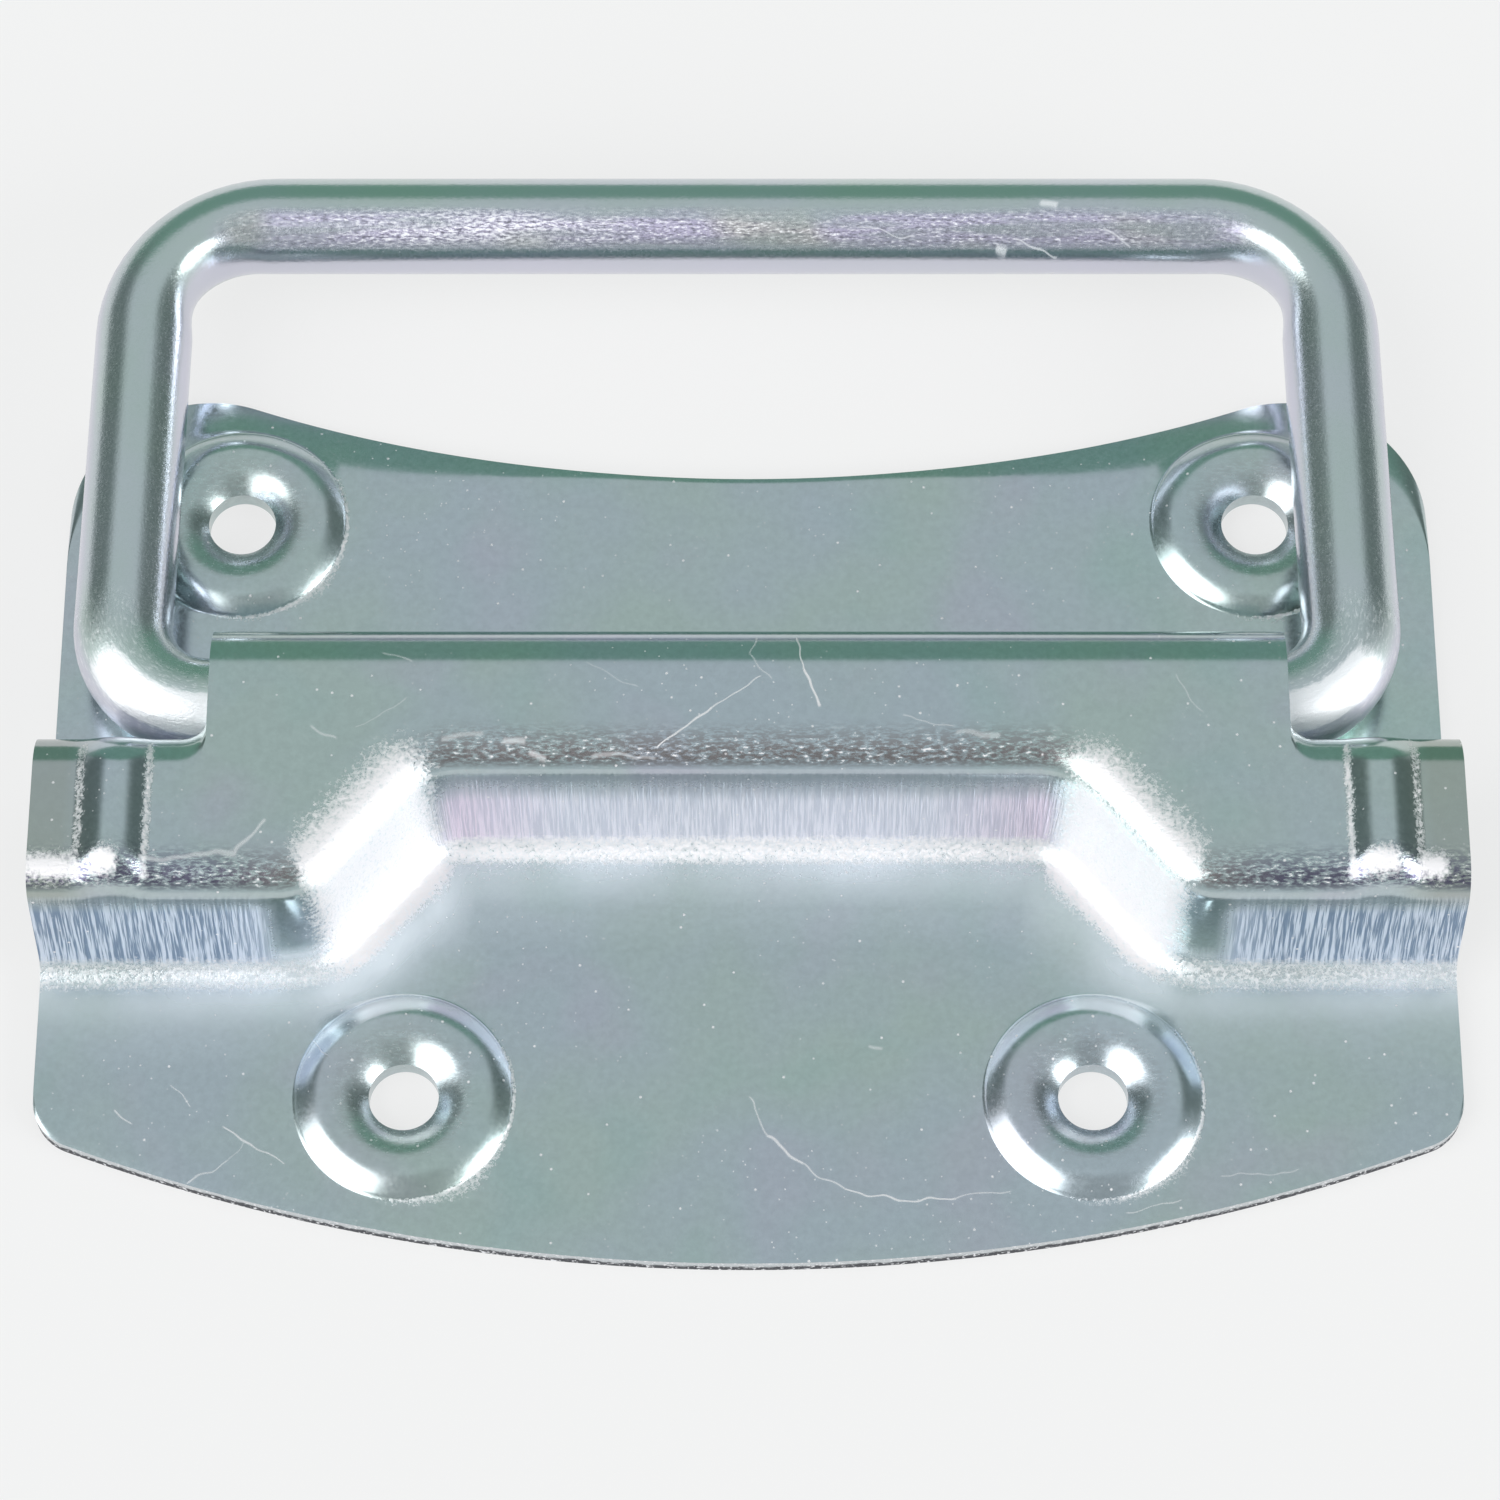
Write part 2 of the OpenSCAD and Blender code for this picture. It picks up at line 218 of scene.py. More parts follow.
def plateSurface(inset, path, isShoulder):
    # rows across the plate for every column: lower flange, lower wall, flat top, upper fold, upper flange
    f, spacing = plateForm, plateGrid
    columns = len(path)
    x = path[:, 0]
    ones = np.ones(columns)
    flat = f["sheet"] - inset

    def flange(y):
        return np.stack([x, y * ones, flat * ones], 1)

    edgeY, farY = lowerEdge(x), upperEdge(x)
    rows = [flange(edgeY)[None]]
    rows.append(stretch(rows[-1][-1], flange(edgeY + spacing["edgeRow"]), spacing["edgeRows"]))
    rows.append(stretch(rows[-1][-1], flange(spacing["lowerY"]), spacing["lowerRows"]))
    lowFold = spacing["lowFold"]
    face, run = foldFace(f["foldRadius"], f["wallSlope"], inset, lowFold)
    offset = face[:, 0] - run / 2
    lowWall = np.empty((len(face), columns, 3))
    lowWall[:, :, 0] = path[:, 0] + offset[:, None] * path[:, 2]
    lowWall[:, :, 1] = path[:, 1] + offset[:, None] * path[:, 3]
    lowWall[:, :, 2] = face[:, 1:2]
    rows.append(stretch(rows[-1][-1], lowWall[0], 3)[:-1])
    rows.append(lowWall)
    lowTilt = face[:, 2]
    # the upper fold of the tongue, and that of a shoulder with its flange on the same rows
    if isShoulder:
        highFold = spacing["shoulderFold"]
        high, _ = foldFace(f["shoulderRadius"], f["shoulderSlope"], inset, highFold)
        high = high[::-1]
        reach = f["shoulderFootY"] - high[:, 0]
        near = np.clip((np.abs(x) - f["tongueHalf"]) / f["notchRound"], 0, 1)
        fillet = f["notchRound"] * (1 - np.sqrt(1 - (1 - near) ** 2))
        keep = ramp(high[:, 1] + inset * np.cos(high[:, 2]), f["notchLow"], f["notchFade"])
        highY = reach[:, None] + keep[:, None] * fillet[None]
    else:
        high, _ = foldFace(f["tongueRadius"], f["tongueSlope"], inset, spacing["tongueFold"])
        high = high[::-1]
        highY = (f["tongueFootY"] - high[:, 0])[:, None] + 0 * x[None]
    upFold = np.empty((len(high), columns, 3))
    upFold[:, :, 0] = x
    upFold[:, :, 1] = highY
    upFold[:, :, 2] = high[:, 1:2]
    if isShoulder:
        topStart = upFold[0]
    else:
        # half way over the flat, but beside a notch where the shoulder's bend starts
        beside = ramp(np.abs(x), spacing["besideX"], f["tongueHalf"] - spacing["besideX"])
        notchY = f["shoulderFootY"] - f["footFillet"] - f["shoulderRadius"] + f["notchRound"]
        middleY = (lowWall[-1, :, 1] + upFold[0, :, 1]) / 2
        topStart = np.stack([x, middleY + beside * (notchY - middleY), (f["top"] - inset) * ones], 1)
    rows.append(stretch(lowWall[-1], topStart, 13))
    if isShoulder:
        rows.append(upFold[1:])
        rows.append(stretch(upFold[-1], flange(f["tongueFootY"]), 10))
    else:
        rows.append(stretch(topStart, upFold[0], 4))
        rows.append(upFold[1:])
    rows.append(stretch(flange(f["tongueFootY"]), flange(spacing["upperY"]), 2))
    rows.append(stretch(flange(spacing["upperY"]), flange(farY - spacing["rimRow"]), 24))
    rows.append(stretch(flange(farY - spacing["rimRow"]), flange(farY), 6))
    grid = np.concatenate(rows).transpose(1, 0, 2)
    counts = [len(r) for r in rows]
    starts = np.concatenate([[0], np.cumsum(counts)])
    # a rib is an arch across each shoulder, laid on the top and run out round both bends
    q = f["ribHeight"] * (1 - ((np.abs(x) - f["ribX"]) / f["ribHalf"]) ** 2)
    arch = 0.5 * (q + np.sqrt(q ** 2 + f["ribSoft"] ** 2))
    peak = 0.5 * (f["ribHeight"] + math.hypot(f["ribHeight"], f["ribSoft"]))
    arch = arch * f["ribHeight"] / peak
    arch = np.where(np.abs(np.abs(x) - f["ribX"]) < f["ribReach"], arch, 0)
    if isShoulder:
        bend = np.zeros(grid.shape[1])
        fade = np.zeros(grid.shape[1])
        side = np.zeros(grid.shape[1])
        a, b = starts[4], starts[5]
        bend[a:b], side[a:b] = lowTilt, -1
        onBend = np.arange(b - a) >= lowFold[0] + lowFold[1]
        fade[a:b] = np.where(onBend, 1 - np.sin(lowTilt) / math.sin(math.radians(f["wallSlope"])), 0)
        fade[starts[5]:starts[6]] = 1
        a, b = starts[6], starts[7]
        bend[a:b], side[a:b] = high[1:, 2], 1
        onBend = np.arange(b - a) < highFold[2] - 1
        fade[a:b] = np.where(onBend, 1 - np.sin(high[1:, 2]), 0)
        lift = arch[:, None] * fade[None]
        grid[:, :, 1] += lift * (side * np.sin(bend))[None]
        grid[:, :, 2] += lift * np.cos(bend)[None]
    return grid, starts


def bossProfile():
    # front and back of a boss by radius: a creased foot, a domed slope up to a narrow ring,
    # then a dish down to the hole
    b = bossForm
    r = np.concatenate([np.linspace(b["foot"], b["ring"], 18), np.linspace(b["ring"], b["lip"], 4)[1:],
                        np.linspace(b["lip"], b["hole"], 15)[1:]])
    share = np.clip((b["foot"] - r) / (b["foot"] - b["ring"]), 0, 1)
    dome = np.sin(share * math.pi / 2) * ramp(share, 0, b["crease"])
    dish = np.clip(b["lip"] - r, 0, None) ** 2 / (2 * b["lipCurve"])
    front = plateForm["sheet"] + b["height"] * dome - dish
    back = b["height"] * dome * ramp(r, b["backFoot"], b["backLip"] - b["backFoot"])
    return r, front, back


def edgeRoll(points):
    # the pressed upper edge turns down, most beside the corners; the lower edge only a little
    f = plateForm
    x, y = points[:, 0], points[:, 1]
    grow = f["rollLeast"] + (1 - f["rollLeast"]) * ramp(np.abs(x), f["rollX"], f["rollGrow"])
    high = np.clip(1 - (upperEdge(x) - y) / (f["rollWidth"] * grow), 0, 1) ** f["rollPower"] * grow
    share = f["rollLower"]
    low = share * np.clip(1 - (y - lowerEdge(x)) / (share * f["rollWidth"]), 0, 1) ** f["rollPower"]
    return f["rollDrop"] * (high + low)


def platePatch(loopXY, centre):
    # polar rings from the edge of a grid block to the foot of a boss and over it to the hole
    away = loopXY - centre
    reach = np.hypot(away[:, 0], away[:, 1])
    heading = away / reach[:, None]
    r, front, back = bossProfile()
    k = np.linspace(0, 1, 4)[1:-1]
    bridge = reach[None] + k[:, None] * (r[0] - reach)[None]
    radius = np.concatenate([bridge, np.repeat(r[:, None], len(loopXY), 1)])
    flat = np.full(len(k), plateForm["sheet"])
    frontZ = np.concatenate([flat, front])
    backZ = np.concatenate([0 * flat, back])
    xy = centre + radius[:, :, None] * heading[None]
    ones = np.ones((len(radius), len(loopXY), 1))
    return [np.concatenate([xy, z[:, None, None] * ones], 2) for z in (frontZ, backZ)]


# wear and painted highlights on the plate, in mm uphill from the middle of the lower wall where nothing else is said;
# a ramp is start and length, a band is start, rise, end and fall
plateWear = {
    "slantTurn": (0.12, 0.6), "sideGrow": 6.0, "settleX": (36.2, 1.2),
    "frostAndHighlight": (-3.5, 1.2, -0.9, 0.4), "frostMiddle": 0.78, "frostSide": 0.5, "frostSideLower": 0.5,
    "slantHighlightAndFrost": (-4.2, 1.4, 6.2, 4.2), "slantLine": (0.2, 0.5, 1.6, 0.5), "slantLineShare": 0.5,
    "ribHighlightLine": 0.82, "ribLineHalf": 0.34, "ribLineIn": 0.1, "ribLineY": 25.0, "ribLineDrop": 0.5,
    "ribHighlightPatches": ((-53.4, 2.3), (-49.0, 1.1), (48.2, 1.5), (52.2, 1.2)),  # x and half width
    "patchAt": 2.4, "patchHalf": 1.1, "patchShare": 1.2, "patchReach": 6.0,
    "creaseIn": 0.08, "creaseHalf": 0.13, "creaseHighlightShare": 0.9, "creaseSlew": 0.6,
    "dish": (0.4, 1.2), "dishScuffs": 0.18, "satin": (0.3, 0.6),  # past the lip and past the foot
    "strokeStart": (-1.5, 0.4), "strokeFaint": (0.5, -0.2), "strokeFull": (0.08, -0.2), "strokeSide": 0.1,
    "strokeFaintShare": 0.3, "scuffs": (0.75, 0.35, 4.6, 3.2),
    "bloomFar": (-11.0, 8.0), "bloomNear": (-7.0, 4.5), "bloomFarShare": 0.35, "bloomEnd": -1.0, "bloomSlant": 0.6,
}


def plateWearAt(points, path):
    # what the finish follows, as products of smooth ramps over the plan distance from the wall
    f, b, w = plateForm, bossForm, plateWear
    x, y, z = points.T
    away = points[:, None, :2] - path[None, :, :2]
    nearest = np.argmin((away ** 2).sum(2), 1)
    uphill = path[nearest, 2:]
    offset = (away[np.arange(len(points)), nearest] * uphill).sum(1)
    slanted = ramp(np.abs(uphill[:, 0]), *w["slantTurn"])
    wallX = path[nearest, 0]
    toSide = ramp(np.abs(wallX), f["slantX"], w["sideGrow"])
    # frost on the foot fillet, partly a painted highlight, and a painted highlight with frost on the slants, with a
    # clearer line across the right one
    start, rise, end, fall = w["frostAndHighlight"]
    frostAndHighlight = w["frostMiddle"] + (w["frostSide"] - w["frostMiddle"]) * toSide
    frostAndHighlight = frostAndHighlight * band(offset, start - w["frostSideLower"] * toSide, rise, end, fall)
    slantHighlightAndFrost = band(offset, *w["slantHighlightAndFrost"])
    slantHighlightAndFrost *= 1 - np.where(wallX > 0, w["slantLineShare"] * band(offset, *w["slantLine"]), 0)
    frostAndHighlight = np.maximum(frostAndHighlight, slanted * slantHighlightAndFrost)
    # painted highlight lines along the feet of the ribs
    ribFoot = np.abs(np.abs(x) - f["ribX"]) - f["ribHalf"] + w["ribLineIn"]
    onShoulder = (np.abs(x) > f["tongueHalf"]) & (z > f["top"] - w["ribLineDrop"]) & (y < w["ribLineY"])
    ribHighlightLine = w["ribHighlightLine"] * np.exp(-(ribFoot / w["ribLineHalf"]) ** 2)
    frostAndHighlight = np.maximum(frostAndHighlight, np.where(onShoulder, ribHighlightLine, 0))
    # painted highlight patches where the ribs run out into the bend
    for cx, half in w["ribHighlightPatches"]:
        patch = np.exp(-((x - cx) / half) ** 4 - ((offset - w["patchAt"]) / w["patchHalf"]) ** 2)
        frostAndHighlight = np.maximum(frostAndHighlight, np.where(np.abs(offset) < w["patchReach"], w["patchShare"] * patch, 0))
    # round a boss the crease gets a thin painted highlight line on its lower right side, the dish is scuffed and the
    # whole boss is satin
    dishWear, satin = np.zeros(len(points)), np.zeros(len(points))
    for side in (-1, 1):
        for bx, by in (b["lower"], b["upper"]):
            toBoss = points[:, :2] - np.array([side * bx, by])
            reach = np.hypot(toBoss[:, 0], toBoss[:, 1])
            creaseLitSide = ramp(toBoss[:, 0] - w["creaseSlew"] * toBoss[:, 1], 0, b["foot"])
            crease = np.exp(-((reach - b["foot"] + w["creaseIn"]) / w["creaseHalf"]) ** 2)
            frostAndHighlight = np.maximum(frostAndHighlight, w["creaseHighlightShare"] * creaseLitSide * crease)
            dishWear = np.maximum(dishWear, ramp(reach, b["lip"] + w["dish"][0], -w["dish"][1]))
            satin = np.maximum(satin, ramp(reach, b["foot"] + w["satin"][0], -w["satin"][1]))
    # draw strokes on the wall; beside the slants the side walls are smooth
    settled = np.where(np.abs(wallX) > f["slantX"], ramp(np.abs(wallX), *w["settleX"]), 1 - slanted)
    fullEnd, fullFall = w["strokeFull"]
    faint = w["strokeFaintShare"]
    strokes = faint * ramp(offset, *w["strokeFaint"])
    strokes += (1 - faint) * ramp(offset, fullEnd + w["strokeSide"] * toSide, fullFall)
    strokes = ramp(offset, *w["strokeStart"]) * strokes * settled
    scuffs = band(offset, *w["scuffs"]) * (1 - slanted)
    scuffs = np.maximum(scuffs, w["dishScuffs"] * dishWear)
    far = w["bloomFarShare"]
    bloom = far * ramp(offset, *w["bloomFar"]) + (1 - far) * ramp(offset, *w["bloomNear"])
    bloom = np.clip(bloom * (offset < w["bloomEnd"]) * (1 + w["bloomSlant"] * slanted), 0, 1)
    return {"frostAndHighlight": frostAndHighlight, "strokes": strokes, "scuffs": scuffs, "bloom": bloom, "satin": satin}


def makePlate():
    # three strips of the grid, welded where they meet, with a polar patch round each screw;
    # front, back and the sides round every free edge make one closed shell
    f, b, spacing = plateForm, bossForm, plateGrid
    path = wallPath()
    x = path[:, 0]
    slit, near = f["tongueHalf"], 1e-6
    groups = [(np.where(x <= -slit + near)[0], True), (np.where(np.abs(x) <= slit + near)[0], False),
              (np.where(x >= slit - near)[0], True)]
    front, back, along = [], [], []
    step = np.hypot(np.diff(path[:, 0]), np.diff(path[:, 1]))
    run = np.concatenate([[0], np.cumsum(step)])
    run -= run[-1] / 2
    for picked, isShoulder in groups:
        g, starts = plateSurface(0.0, path[picked], isShoulder)
        h, _ = plateSurface(f["sheet"], path[picked], isShoulder)
        front.append(g)
        back.append(h)
        along.append(run[picked])
        if not isShoulder:
            tongueStarts = starts
    rowCount = front[0].shape[1]
    print("plate rows", rowCount, [g.shape for g in front])
    frontGrid, backGrid = np.concatenate(front), np.concatenate(back)
    along = np.concatenate(along)
    # one index for points that two strips share
    flatPoints = frontGrid.reshape(-1, 3)
    backPoints = backGrid.reshape(-1, 3)
    key = np.round(np.concatenate([flatPoints, backPoints], 1), 4)
    _, first, weld = np.unique(key, axis=0, return_index=True, return_inverse=True)
    weld = weld.reshape(-1)
    points, rear = flatPoints[first], backPoints[first]
    index = weld.reshape(frontGrid.shape[:2])
    columnRun = np.repeat(along[:, None], rowCount, 1).reshape(-1)[first]
    # cells of the three strips, without the blocks round the screws
    cells = np.stack([index[:-1, :-1], index[1:, :-1], index[1:, 1:], index[:-1, 1:]], -1)
    keep = np.ones(cells.shape[:2], bool)
    colX = frontGrid[:, 0, 0]
    strip = np.concatenate([np.full(len(g), i) for i, g in enumerate(front)])
    keep &= (strip[:-1] == strip[1:])[:, None]
    lowBlock = (spacing["edgeRows"], spacing["edgeRows"] + spacing["lowerRows"])
    highBlock = (tongueStarts[-3], tongueStarts[-2] - 1)
    patches = []
    for (bx, by), (r0, r1) in ((b["lower"], lowBlock), (b["upper"], highBlock)):
        for side in (-1, 1):
            inside = np.where(np.abs(colX - side * bx) <= b["blockHalf"])[0]
            c0, c1 = inside[0], inside[-1]
            keep[c0:c1, r0:r1] = False
            loop = np.concatenate([index[c0:c1, r0], index[c1, r0:r1], index[c1:c0:-1, r1], index[c0, r1:r0:-1]])
            loop = loop[loop != np.roll(loop, 1)]
            patches.append((np.array([side * bx, by]), loop))
    faces = [cells[keep]]
    patchPoints, patchRear = [], []
    total = len(points)
    for centre, loop in patches:
        g, h = platePatch(points[loop, :2], centre)
        ringIds = total + np.arange(g.shape[0] * g.shape[1]).reshape(g.shape[:2])
        ids = np.concatenate([loop[None], ringIds])
        nxt = np.roll(ids, -1, 1)
        faces.append(np.stack([ids[:-1], nxt[:-1], nxt[1:], ids[1:]], -1).reshape(-1, 4))
        patchPoints.append(g.reshape(-1, 3))
        patchRear.append(h.reshape(-1, 3))
        total += ringIds.size
    frontAll = np.concatenate([points] + patchPoints)
    onFlange = frontAll[:, 2] < f["sheet"] + b["height"] + 0.01
    frontAll[:, 2] -= np.where(onFlange, edgeRoll(frontAll), 0)
    rearAll = np.concatenate([rear] + patchRear)
    quads = np.concatenate([q.reshape(-1, 4) for q in faces])
    # a quad's first side runs to the right and its second upwards, so it faces the eye
    edges = np.stack([quads, np.roll(quads, -1, 1)], -1).reshape(-1, 2)
    low = np.sort(edges, 1)
    _, inverse, seen = np.unique(low, axis=0, return_inverse=True, return_counts=True)
    rim = edges[seen[inverse.reshape(-1)] == 1]
    n = len(frontAll)
    side = np.stack([rim[:, 1], rim[:, 0], rim[:, 0] + n, rim[:, 1] + n], 1)
    allFaces = np.concatenate([quads, quads[:, ::-1] + n, side])
    mesh = smoothMesh("plateSheet", np.concatenate([frontAll, rearAll]), allFaces.tolist())
    # the outer edges show the sheared metal, the holes are plated like the sheet
    cut = np.zeros(len(mesh.polygons), np.int32)
    toHole = [np.hypot(frontAll[rim[:, 0], 0] - c[0], frontAll[rim[:, 0], 1] - c[1]) for c, _ in patches]
    cut[-len(side):] = np.min(toHole, 0) > b["hole"] + 0.1
    mesh.polygons.foreach_set("material_index", cut)
    # wear and painted highlights are on the front alone, the length along the wall on both faces
    for name, values in plateWearAt(frontAll, path).items():
        addLayer(mesh, name, np.concatenate([values, 0 * values]))
    runAll = np.concatenate([columnRun, np.zeros(n - len(columnRun))])
    addLayer(mesh, "wallRun", np.tile(runAll * mm, 2))
    plate = placeObject("pressedPlate", mesh)
    bevel = plate.modifiers.new("cutEdge", "BEVEL")
    bevel.width = f["cutBevel"] * mm
    bevel.segments = 2
    bevel.limit_method = "ANGLE"
    bevel.angle_limit = math.radians(f["bevelAngle"])
    bevel.harden_normals = True
    return plate


# bail: a round wire carried along lines and quarter bends, in mm

bailForm = {
    "wire": 3.9, "halfWidth": 48.6, "reach": 44.0, "gripBend": 10.5, "barBend": 7.2, "lean": 0.011, "slide": -0.9,
    "endGap": 1.0, "endChamfer": 0.5, "endPoint": 0.02, "pressed": 0.28, "pressedPower": 1.5, "pressedOver": 0.95,
    "pivotY": 30.6, "pivotZ": 7.0, "sides": 56, "step": 0.9,
}
# wear and painted light on the bail: bands in degrees round the wire, or by how far its face turns aside, from 0 to 1
bailWear = {
    "rub": (2, 22, 68, 26), "gripIn": 2.4, "gripGrow": 2.2, "flankReflection": (0.72, 0.22),
    "stipple": (-35, 30, 120, 30), "barPast": 3.0, "barFade": 5.0, "barGrow": 3.0,
    "paintedBendHighlight": (-2, 18, 72, 22), "bendHighlightUpTo": 0.85, "bendHighlightFade": 0.5,  # shares of the bend's radius
    "legStipple": (0.3, 0.2, 0.9, 0.2), "legStippleShare": 0.25, "legIn": 6.0, "legGrow": 4.0,
}


def bailPath():
    # centre line from the left end in the channel, up the left leg, over the grip and down to the right end;
    # the legs lean in
    f = bailForm
    half, reach, g, b = f["halfWidth"], f["reach"], f["gripBend"], f["barBend"]

    def line(p, q):
        count = max(2, int(np.hypot(*(np.array(q) - p)) / f["step"]))
        k = np.linspace(0, 1, count)[:-1, None]
        return np.array(p) + k * (np.array(q) - np.array(p))

    def bend(c, r, a0, a1):
        a = np.radians(np.linspace(a0, a1, 17)[:-1])[:, None]
        return np.array(c) + r * np.concatenate([np.cos(a), np.sin(a)], 1)

    pieces = [
        line((-f["endGap"], 0), (-half + b, 0)), bend((-half + b, b), b, 270, 180),
        line((-half, b), (-half, reach - g)), bend((-half + g, reach - g), g, 180, 90),
        line((-half + g, reach), (half - g, reach)), bend((half - g, reach - g), g, 90, 0),
        line((half, reach - g), (half, b)), bend((half - b, b), b, 0, -90),
        line((half - b, 0), (f["endGap"], 0)), np.array([[f["endGap"], 0.0]])]
    path = np.concatenate(pieces)
    path[:, 0] *= 1 - f["lean"] * path[:, 1] / reach
    return path


def makeBail():
    # each ring is a circle square to the path, and two small rings close each end
    f, w = bailForm, bailWear
    path = bailPath()
    tangent = np.gradient(path, axis=0)
    tangent /= np.linalg.norm(tangent, axis=1)[:, None]
    outward = np.stack([-tangent[:, 1], tangent[:, 0]], 1)
    turn = np.linspace(0, 2 * math.pi, f["sides"], endpoint=False) - math.pi / 2
    wire, chamfer = f["wire"], f["endChamfer"]
    ends = [f["endPoint"], wire - chamfer, wire]
    radius = np.concatenate([ends, np.full(len(path) - 2, wire), ends[::-1]])
    path = np.concatenate([path[:1], path[:1], path[:1] + chamfer * tangent[:1], path[1:-1],
                           path[-1:] - chamfer * tangent[-1:], path[-1:], path[-1:]])
    outward = np.concatenate([outward[:1]] * 3 + [outward[1:-1]] + [outward[-1:]] * 3)
    pathX, pathY = path[:, :1], path[:, 1:]
    # bending has pressed the inside of the grip's bends flatter, most half way round
    cornerX, cornerY = f["halfWidth"] - f["gripBend"], f["reach"] - f["gripBend"]
    swing = np.arctan2(np.clip(pathY - cornerY, 0, None), np.clip(np.abs(pathX) - cornerX, 0, None))
    bent = np.sin(2 * swing) ** f["pressedPower"]
    inner = ramp(-np.cos(turn)[None], 0, f["pressedOver"])
    across = radius[:, None] * np.cos(turn)[None] * (1 - f["pressed"] * bent * inner)
    rise = radius[:, None] * np.sin(turn)[None]
    points = np.empty((len(path), f["sides"], 3))
    points[:, :, 0] = pathX + outward[:, :1] * across + f["slide"]
    points[:, :, 1] = pathY + outward[:, 1:] * across + f["pivotY"]
    points[:, :, 2] = rise + f["pivotZ"]
    ids = np.arange(points.shape[0] * points.shape[1]).reshape(points.shape[:2])
    nxt = np.roll(ids, -1, 1)
    quads = np.stack([ids[1:], nxt[1:], nxt[:-1], ids[:-1]], -1).reshape(-1, 4)
    caps = [ids[0].tolist(), ids[-1][::-1].tolist()]
    mesh = smoothMesh("bailWire", points.reshape(-1, 3), quads.tolist() + caps)
    # what the finish follows: place along and round the wire, then its wear
    length = np.concatenate([[0], np.cumsum(np.hypot(*np.diff(path, axis=0).T))])
    wireMap = np.zeros(points.shape)
    wireMap[:, :, 0] = length[:, None]
    wireMap[:, :, 1] = (turn * wire)[None]
    layer = mesh.attributes.new("wireMap", "FLOAT_VECTOR", "POINT")
    layer.data.foreach_set("vector", (wireMap * mm).astype(np.float32).reshape(-1))
    # the rubbed front of the grip, the creased inside of its bends, and the flanks, which get a painted reflection
    # tint
    lean = np.degrees(np.arctan2(np.cos(turn)[None] * -outward[:, 1:], np.sin(turn)[None] + 0 * pathX))
    rub = ramp(pathY, f["reach"] - w["gripIn"], w["gripGrow"]) * band(lean, *w["rub"])
    aside = np.abs(np.cos(turn))[None]
    flankReflection = ramp(aside, *w["flankReflection"]) + 0 * rub
    # stippled zinc on the outside of the lower bends, a little of it up the legs, and a painted white highlight on
    # the outside of the bends
    outside = np.degrees(np.arctan2(np.cos(turn), np.sin(turn)))[None]
    inBend = f["barBend"] + w["barPast"]
    toBar = ramp(pathY, inBend, -w["barFade"]) * ramp(np.abs(pathX), f["halfWidth"] - inBend, w["barGrow"])
    onLeg = ramp(np.abs(pathX), f["halfWidth"] - w["legIn"], w["legGrow"])
    stipple = toBar * band(outside, *w["stipple"])
    stipple = np.maximum(stipple, w["legStippleShare"] * onLeg * band(aside, *w["legStipple"]))
    paintedBendHighlight = ramp(pathY, w["bendHighlightUpTo"] * f["barBend"], -w["bendHighlightFade"] * f["barBend"])
    paintedBendHighlight = paintedBendHighlight * band(outside, *w["paintedBendHighlight"])
    for name, values in (("rub", rub), ("crease", bent * inner), ("flankReflection", flankReflection), ("stipple", stipple),
                         ("paintedBendHighlight", paintedBendHighlight)):
        addLayer(mesh, name, values)
    return placeObject("wireBail", mesh)


plate = makePlate()
bail = makeBail()
for piece, node in ((plate, "plate"), (bail, "bail")):
    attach(piece, node)
    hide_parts(node)
print("plate and bail made", len(plate.data.polygons), len(bail.data.polygons))


# finish of the plate: sizes, places and depths in mm
zincForm = {
    "tone": "#B8C7C4", "cool": "#BAC5CD", "lavender": "#C3BFD0", "teal": "#A9C5C0", "dull": "#A3A69B",
    "bloom": "#E4EBF3", "drawn": "#D6D6E0", "drawnEnd": "#E0D2E2", "drawnOuter": "#C6CFDD", "drawnSide": "#6C8098",
    "scuff": "#A19B97", "scuffSide": "#6A6880", "bright": "#E4E1E3",
    "cloudSize": 18.0, "tintSize": 13.0, "mottleSize": 0.6, "grainSize": 0.3, "scuffSize": 0.22, "scuffStretch": 0.35,
    "frostSize": 0.32, "strokeSize": 0.24, "strokeLength": 6.0, "speckSpacing": 1.7, "dustSpacing": 0.8,
    "tintShare": 0.4, "mottleDark": 0.955, "mottleLight": 1.045, "dullShare": 0.55, "bloomLeast": 0.45, "haze": 0.7,
    "speckShare": 0.9, "dustShare": 0.7, "gapMiddle": 0.28, "gapSide": 0.95,
    # from where to where a change goes: on the shoulders, and along the wall from its middle
    "dullX": (49.5, 52.5), "dullZ": (9.0, 11.0), "wallEnd": (14.0, 23.0), "wallOuter": (30.0, 38.0),
    "wallSide": (39.0, 45.0),
    # roughness of clean zinc, what wear adds to it, and how much of a mirror chalky zinc is
    "roughLeast": 0.14, "roughMost": 0.20, "frostRough": 0.34, "strokeRough": 0.24, "scuffRough": 0.10,
    "paleRough": 0.2, "satinRough": 0.06, "chalkMetal": 0.4,
    "grainDepth": 0.0016, "scuffDepth": 0.032, "strokeDepth": 0.11,
}
scratchForm = {"waverSize": 2.5, "waverReach": 0.9, "endSoft": 0.2, "core": 0.3}
